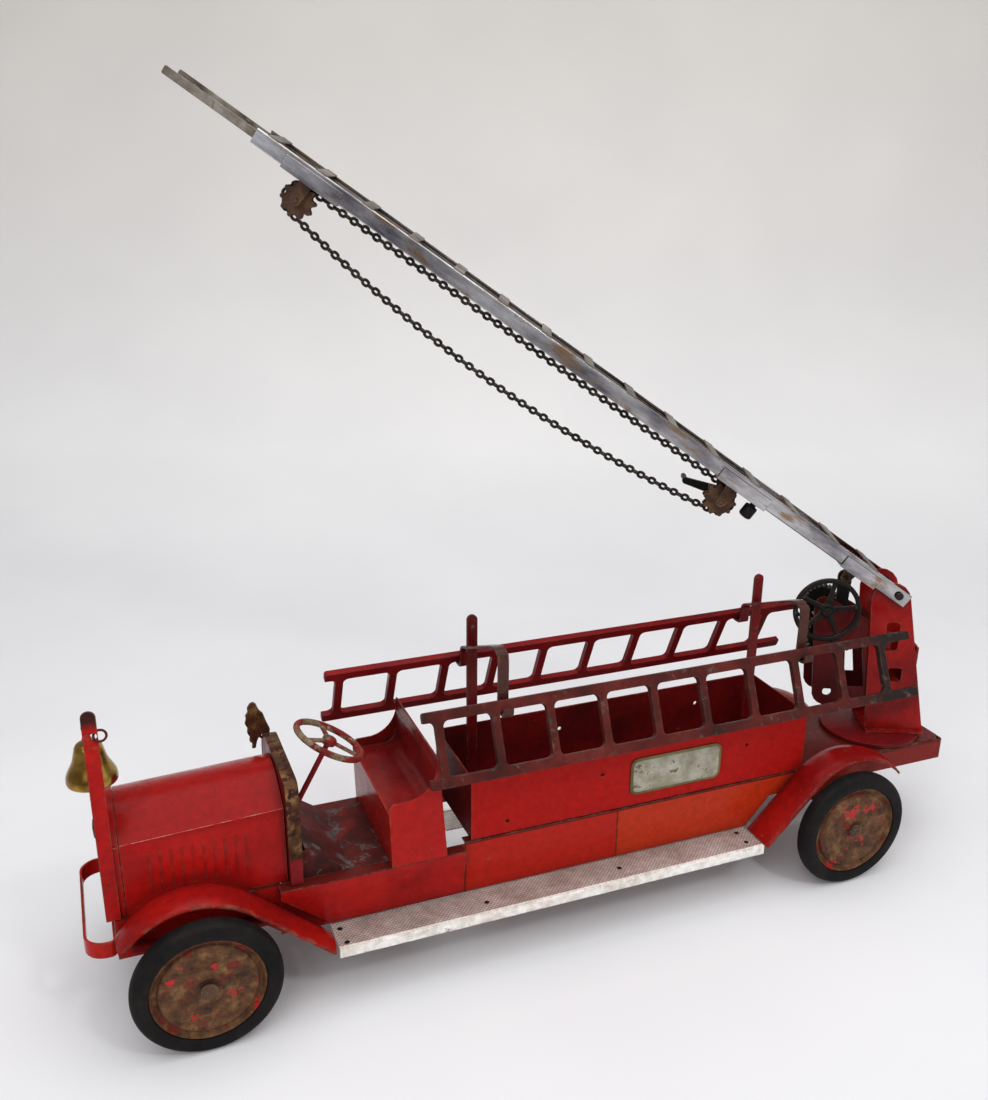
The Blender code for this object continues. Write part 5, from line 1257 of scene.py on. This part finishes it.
helmShapes.append(turned([(0, 0), (0.0020, 0), (0.0016, 0.0030), (0.0020, 0.0080), (0.0019, 0.0110),
                          (0, 0.0120)],
                         (0, 1, 0), peg, 20))
makePiece("handWheel", together(helmShapes), finishes["black"], "hand_wheel", table,
          angle=50,
          instead=("hand_wheel",))
print("turntable done")

# Aerial ladder, in its own frame
rail = {"half": 0.025, "sheet": 0.0012, "low": -0.0070, "high": 0.0062, "lip": 0.0212, "start": -0.0105,
        "end": 0.685}


def railShape(side):
    s = rail
    web = s["half"] - s["sheet"]
    points = [(s["lip"], s["low"]), (s["half"] - 0.0008, s["low"]), (s["half"], s["low"] + 0.0008),
              (s["half"], s["high"] - 0.0008), (s["half"] - 0.0008, s["high"]), (s["lip"], s["high"]),
              (s["lip"], s["high"] - s["sheet"]), (web, s["high"] - s["sheet"]), (web, s["low"] + s["sheet"]),
              (s["lip"], s["low"] + s["sheet"])]
    return prism([(side * y, z) for y, z in points], "YZ", s["start"], s["end"])


rails = cutPiece(railShape(1), [rod((0, -0.03, 0), (0, 0.03, 0), 0.0033)])
farRail = cutPiece(railShape(-1), [rod((0, -0.03, 0), (0, 0.03, 0), 0.0033)])
makePiece("ladderRails", together([rails, farRail]), finishes["plating"], "main_ladder",
          ladder,
          bevel=0.0002, instead=("main_ladder",))
rung = prism(roundedBox((-0.0050, 0.0055), (0.0050, 0.0070), 0.0007, 3), "XZ", -0.0246, 0.0246)
arranged("ladderRungs", "row", {"Count": 15, "Start": (0.0345, 0, 0), "Step": (0.0454, 0, 0)}, rung,
         finishes["dullPlating"], "main_ladder", ladder, instead=("main_ladder",))

slide = {"start": 0.181, "end": 0.772, "outer": 0.0202, "inner": 0.0172, "half": 0.0035}
rails = [prism(roundedBox((slide["start"], -slide["half"]), (slide["end"], slide["half"]), 0.0012, 3), "XZ",
               *sorted((sign * slide["outer"], sign * slide["inner"]))) for sign in (-1, 1)]
makePiece("slideRails", together(rails), finishes["dullPlating"], "extension_ladder",
          ladder,
          bevel=0.0003, instead=("extension_ladder",))
lastRung = slide["end"] - 0.020 - 0.0454 * 11
rung = prism(roundedBox((-0.0035, -0.0010), (0.0035, 0.0010), 0.0008, 3), "XZ", -0.0178, 0.0178)
arranged("slideRungs", "row", {"Count": 13, "Start": (slide["end"] - 0.020, 0, 0), "Step": (-0.0454, 0, 0)},
         rung,
         finishes["dullPlating"], "extension_ladder", ladder, instead=("extension_ladder",))
catch = block((lastRung - 0.0030, -0.0030, -0.0104), (lastRung + 0.0030, 0.0030, 0.0005))
makePiece("slideCatch", catch, finishes["black"], "extension_ladder", ladder, bevel=0.0004,
          instead=("extension_ladder",))

sprockets = {"lower": Vector((0.1815, 0, -0.026)), "upper": Vector((0.633, 0, -0.026))}
sprocket = {"teeth": 10, "gap": 0.0033, "plate": 0.0014}


def sprocketShapes(label):
    centre = sprockets[label]
    outline = []
    profile = (0.0118, 0.0121, 0.0137, 0.0152, 0.0156, 0.0152, 0.0137, 0.0121)
    steps = sprocket["teeth"] * len(profile)
    for i in range(steps):
        a = 2 * math.pi * i / steps
        radius = profile[i % len(profile)]
        outline.append((centre.x + radius * math.cos(a), centre.z + radius * math.sin(a)))
    near, far = sprocket["gap"], sprocket["gap"] + sprocket["plate"]
    shapes = [prism(outline, "XZ", *sorted((sign * near, sign * far))) for sign in (-1, 1)]
    reach = 0.0320 if label == "lower" else 0.0130
    shapes.append(rod(centre - side * 0.0036, centre + side * 0.0036, 0.0098, 40))
    shapes.append(rod(centre - side * reach, centre + side * 0.0130, 0.0021, ease=0.0003))
    shapes.append(turned([(0, 0), (0.0052, 0), (0.0048, 0.0012), (0.0036, 0.0020), (0, 0.0024)], (0, 1, 0),
                         centre + side * 0.0047, 28))
    return shapes


saddles = {
    "lift_bracket": {"span": (0.023, 0.062), "lugs": (0.0115,), "centre": (0.044, -0.016), "hole": 0.0025,
                     "round": 0.0050},
    "sprocket_bracket_lower": {"span": (0.150, 0.203), "lugs": (-0.0115, 0.0115), "centre": (0.1815, -0.026),
                               "hole": 0.0024, "round": 0.0044},
    "sprocket_bracket_upper": {"span": (0.6005, 0.655), "lugs": (-0.0115, 0.0115), "centre": (0.633, -0.026),
                               "hole": 0.0024, "round": 0.0044},
}
for label, saddle in saddles.items():
    bottom, cheekIn = rail["low"] - 0.0003, rail["half"] + 0.0003
    section = [(cheekIn + 0.0012, bottom - 0.0015), (cheekIn + 0.0012, 0.0030), (cheekIn, 0.0030),
               (cheekIn, bottom)]
    section += [(-y, z) for y, z in section[::-1]]
    makePiece(f"saddle_{label}", prism(section, "YZ", *saddle["span"]), finishes["plating"], "main_ladder",
              ladder, bevel=0.0003, instead=(label,))
    lugs = []
    x, z = saddle["centre"]
    for y in saddle["lugs"]:
        outline = [(x - 0.0062, bottom - 0.0010), *arcPoints((x, z), saddle["round"], 180, 360, 12)]
        outline.append((x + 0.0062, bottom - 0.0010))
        drill = rod((x, y - 0.004, z), (x, y + 0.004, z), saddle["hole"], 20)
        lugs.append(cutPiece(prism(outline, "XZ", y - 0.0008, y + 0.0008), [drill]))
    makePiece(f"lugs_{label}", together(lugs), finishes["rust"], "main_ladder", ladder,
              bevel=0.0002,
              instead=(label,))
for label in sprockets:
    makePiece(f"sprocket_{label}", together(sprocketShapes(label)), finishes["rust"], f"{label}_sprocket",
              ladder, bevel=0.0002, instead=(f"sprocket_{label}",))

crankHub = sprockets["lower"] - side * 0.0300
crankReach = Vector((0.0275, 0, -0.0085))
grip = crankHub + crankReach
lean = math.degrees(math.atan2(crankReach.z, crankReach.x))
outline = arcPoints((grip.x, grip.z), 0.0032, lean - 90, lean + 90, 10)
outline += arcPoints((crankHub.x, crankHub.z), 0.0048, lean + 90, lean + 270, 14)
handle = [(0, 0), (0.0022, 0.0002), (0.0026, 0.0050), (0.0021, 0.0100), (0.0026, 0.0160), (0.0022, 0.0195),
          (0, 0.0200)]
crankShapes = [prism(outline, "XZ", crankHub.y - 0.0010, crankHub.y + 0.0010),
               turned(handle, (0, -1, 0), grip, 24)]
makePiece("crankHandle", together(crankShapes), finishes["black"], "lower_sprocket",
          ladder,
          bevel=0.0002, instead=("crank_handle",))

chain = {"radius": 0.0125, "sag": math.radians(10.05), "pitch": 0.0057, "wire": 0.0014, "linkHalf": 0.0044,
         "linkWide": 0.0036}


def chainRoute():
    low, high = sprockets["lower"], sprockets["upper"]
    sag = math.degrees(chain["sag"])
    route = arcPoints((low.x, low.z), chain["radius"], 270 - sag, 90, 20)
    route += [(low.x + (high.x - low.x) * i / 20, low.z + chain["radius"]) for i in range(1, 20)]
    route += arcPoints((high.x, high.z), chain["radius"], 90, -90 + sag, 20)
    start = Vector(route[-1])
    span = Vector(route[0]) - start
    depth = span.length * math.tan(chain["sag"]) / 4
    for i in range(1, 60):
        share = i / 60
        point = start + span * share
        route.append((point.x, point.y - depth * 4 * share * (1 - share)))
    return route


def linkShape():
    # A stadium of round wire, its length along Z.
    middle = chain["linkHalf"] - chain["linkWide"]
    path = arcPoints((0, middle), chain["linkWide"] - chain["wire"], 0, 180, 5)
    path += arcPoints((0, -middle), chain["linkWide"] - chain["wire"], 180, 360, 5)
    loops = []
    for i, (x, z) in enumerate(path):
        before, after = Vector(path[i - 1]), Vector(path[(i + 1) % len(path)])
        run = (after - before).normalized()
        out = Vector((run.y, 0, -run.x))
        turns = [math.radians(60 * k) for k in range(6)]
        loops.append([tuple(Vector((x, 0, z)) + out * chain["wire"] * math.cos(a)
                            + side * chain["wire"] * math.sin(a))
                      for a in turns])
    return loft(loops, ring=True)


route = chainRoute()
line = bpy.data.curves.new("chainLine", "CURVE")
line.dimensions = "3D"
spline = line.splines.new("POLY")
spline.points.add(len(route) - 1)
for point, (x, z) in zip(spline.points, route):
    point.co = (x, 0, z, 1)
spline.use_cyclic_u = True
length = sum((Vector(route[i]) - Vector(route[i - 1])).length for i in range(len(route)))
links = 2 * round(length / chain["pitch"] / 2)
arranged("chainLinks", "path", {"Count": links, "Roll": math.pi / 2}, linkShape(), finishes["black"],
         "main_ladder",
         ladder, carrier=bpy.data.objects.new("chainCarrier", line),
         instead=("drive_chain",))

knobTop = Vector((0.1570, 0.0120, -0.0091))
knob = [(0, 0), (0.0030, 0), (0.0030, -0.0030), (0.0056, -0.0036), (0.0062, -0.0046), (0.0062, -0.0136)]
knob += [(0.0054, -0.0148), (0.0040, -0.0155), (0, -0.0155)]
makePiece("thumbScrew", turned(knob, (0, 0, 1), knobTop, 28), finishes["black"], "stop_knob",
          ladder,
          instead=("stop_knob",))
print("aerial ladder done, chain links:", links)

# Floor, light and camera


def paperFinish():
    finish = bpy.data.materials.new("palePaper")
    finish.use_nodes = True
    tree = finish.node_tree
    shader = tree.nodes["Principled BSDF"]
    where = tree.nodes.new("ShaderNodeTexCoord")
    grain = noise(tree, where.outputs["Object"], 3.0, 3.0, 0.5)
    colour = ramp(tree, grain, [(0.3, (0.78, 0.775, 0.79)), (0.7, (0.83, 0.825, 0.835))])
    split = tree.nodes.new("ShaderNodeSeparateXYZ")
    tree.links.new(where.outputs["Object"], split.inputs["Vector"])
    # Painted light: the sweep is brighter near the foot of its curve and darker and warmer up the wall, as
    # light falling off.
    rise = ramp(tree, split.outputs["Z"], [(0.0, (1.0, 1.0, 1.0)), (0.12, (1.08, 1.07, 1.045)),
                                           (0.45, (0.97, 0.945, 0.90)),
                                           (0.95, (0.89, 0.850, 0.785))])
    tree.links.new(mixed(tree, 1.0, colour, rise, "MULTIPLY"), shader.inputs["Base Color"])
    shader.inputs["Roughness"].default_value = 0.7
    shader.inputs["Specular IOR Level"].default_value = 0.25
    return finish


def backdrop():
    profile = [(-6.0, 0.0), (0.6, 0.0)]
    profile += [(0.6 + 0.9 * math.sin(a),
                 0.9 - 0.9 * math.cos(a)) for a in [math.radians(9 * k) for k in range(1, 11)]]
    profile.append((1.5, 3.2))
    mesh = bpy.data.meshes.new("studioSweep")
    verts = [(x, -y, z) for y, z in profile for x in (-8.0, 8.0)]
    faces = [(2 * i, 2 * i + 1, 2 * i + 3, 2 * i + 2) for i in range(len(profile) - 1)]
    mesh.from_pydata(verts, [], faces)
    mesh.materials.append(paperFinish())
    mesh.shade_smooth()
    sweep = bpy.data.objects.new("studioSweep", mesh)
    bpy.context.collection.objects.link(sweep)
    sweep.rotation_euler = (0, 0, math.radians(-22))
    return sweep


backdrop()

lamps = {
    "top": {"at": (0.1, 0.3, 1.9), "size": 2.4, "power": 25.0},
    "key": {"at": (1.2, 1.5, 1.5), "size": 1.2, "power": 9.5},
    "fill": {"at": (-1.5, 1.4, 0.9), "size": 1.6, "power": 4.0},
    "glint": {"at": (-0.4, 1.45, 1.6), "size": 0.22, "power": 5.0},
}
for label, lamp in lamps.items():
    light = bpy.data.lights.new(label, "AREA")
    light.shape = "DISK"
    light.size = lamp["size"]
    light.energy = lamp["power"]
    made = bpy.data.objects.new(label, light)
    made.location = lamp["at"]
    aim = Vector((0, 0.05, 0.15)) - made.location
    made.rotation_euler = aim.to_track_quat("-Z", "Y").to_euler()
    bpy.context.collection.objects.link(made)
world = bpy.data.worlds.new("studio")
world.use_nodes = True
world.node_tree.nodes["Background"].inputs["Color"].default_value = (0.86, 0.88, 0.92, 1)
world.node_tree.nodes["Background"].inputs["Strength"].default_value = 0.45
bpy.context.scene.world = world

view = {"at": (0.04535, 0.74198, 0.59906), "forward": (-0.35006, -0.87497, -0.33450), "roll": 0.010,
        "lens": 35.546, "shiftX": -0.00205, "shiftY": 0.01033}
back = -Vector(view["forward"]).normalized()
right = Vector((0, 0, 1)).cross(back).normalized()
up = back.cross(right)
turnRight = right * math.cos(view["roll"]) + up * math.sin(view["roll"])
turnUp = up * math.cos(view["roll"]) - right * math.sin(view["roll"])
camera = bpy.data.objects.new("camera", bpy.data.cameras.new("camera"))
camera.data.lens = view["lens"]
camera.data.shift_x = view["shiftX"]
camera.data.shift_y = view["shiftY"]
camera.data.clip_start = 0.01
spot = Vector(view["at"]) + Vector((front, 0, 0)) + Vector(layout["centreLine"])
camera.matrix_world = Matrix.Translation(spot) @ Matrix((turnRight, turnUp, back)).transposed().to_4x4()
bpy.context.collection.objects.link(camera)
bpy.context.scene.camera = camera
bpy.context.scene.view_settings.view_transform = "Standard"
print("studio done")
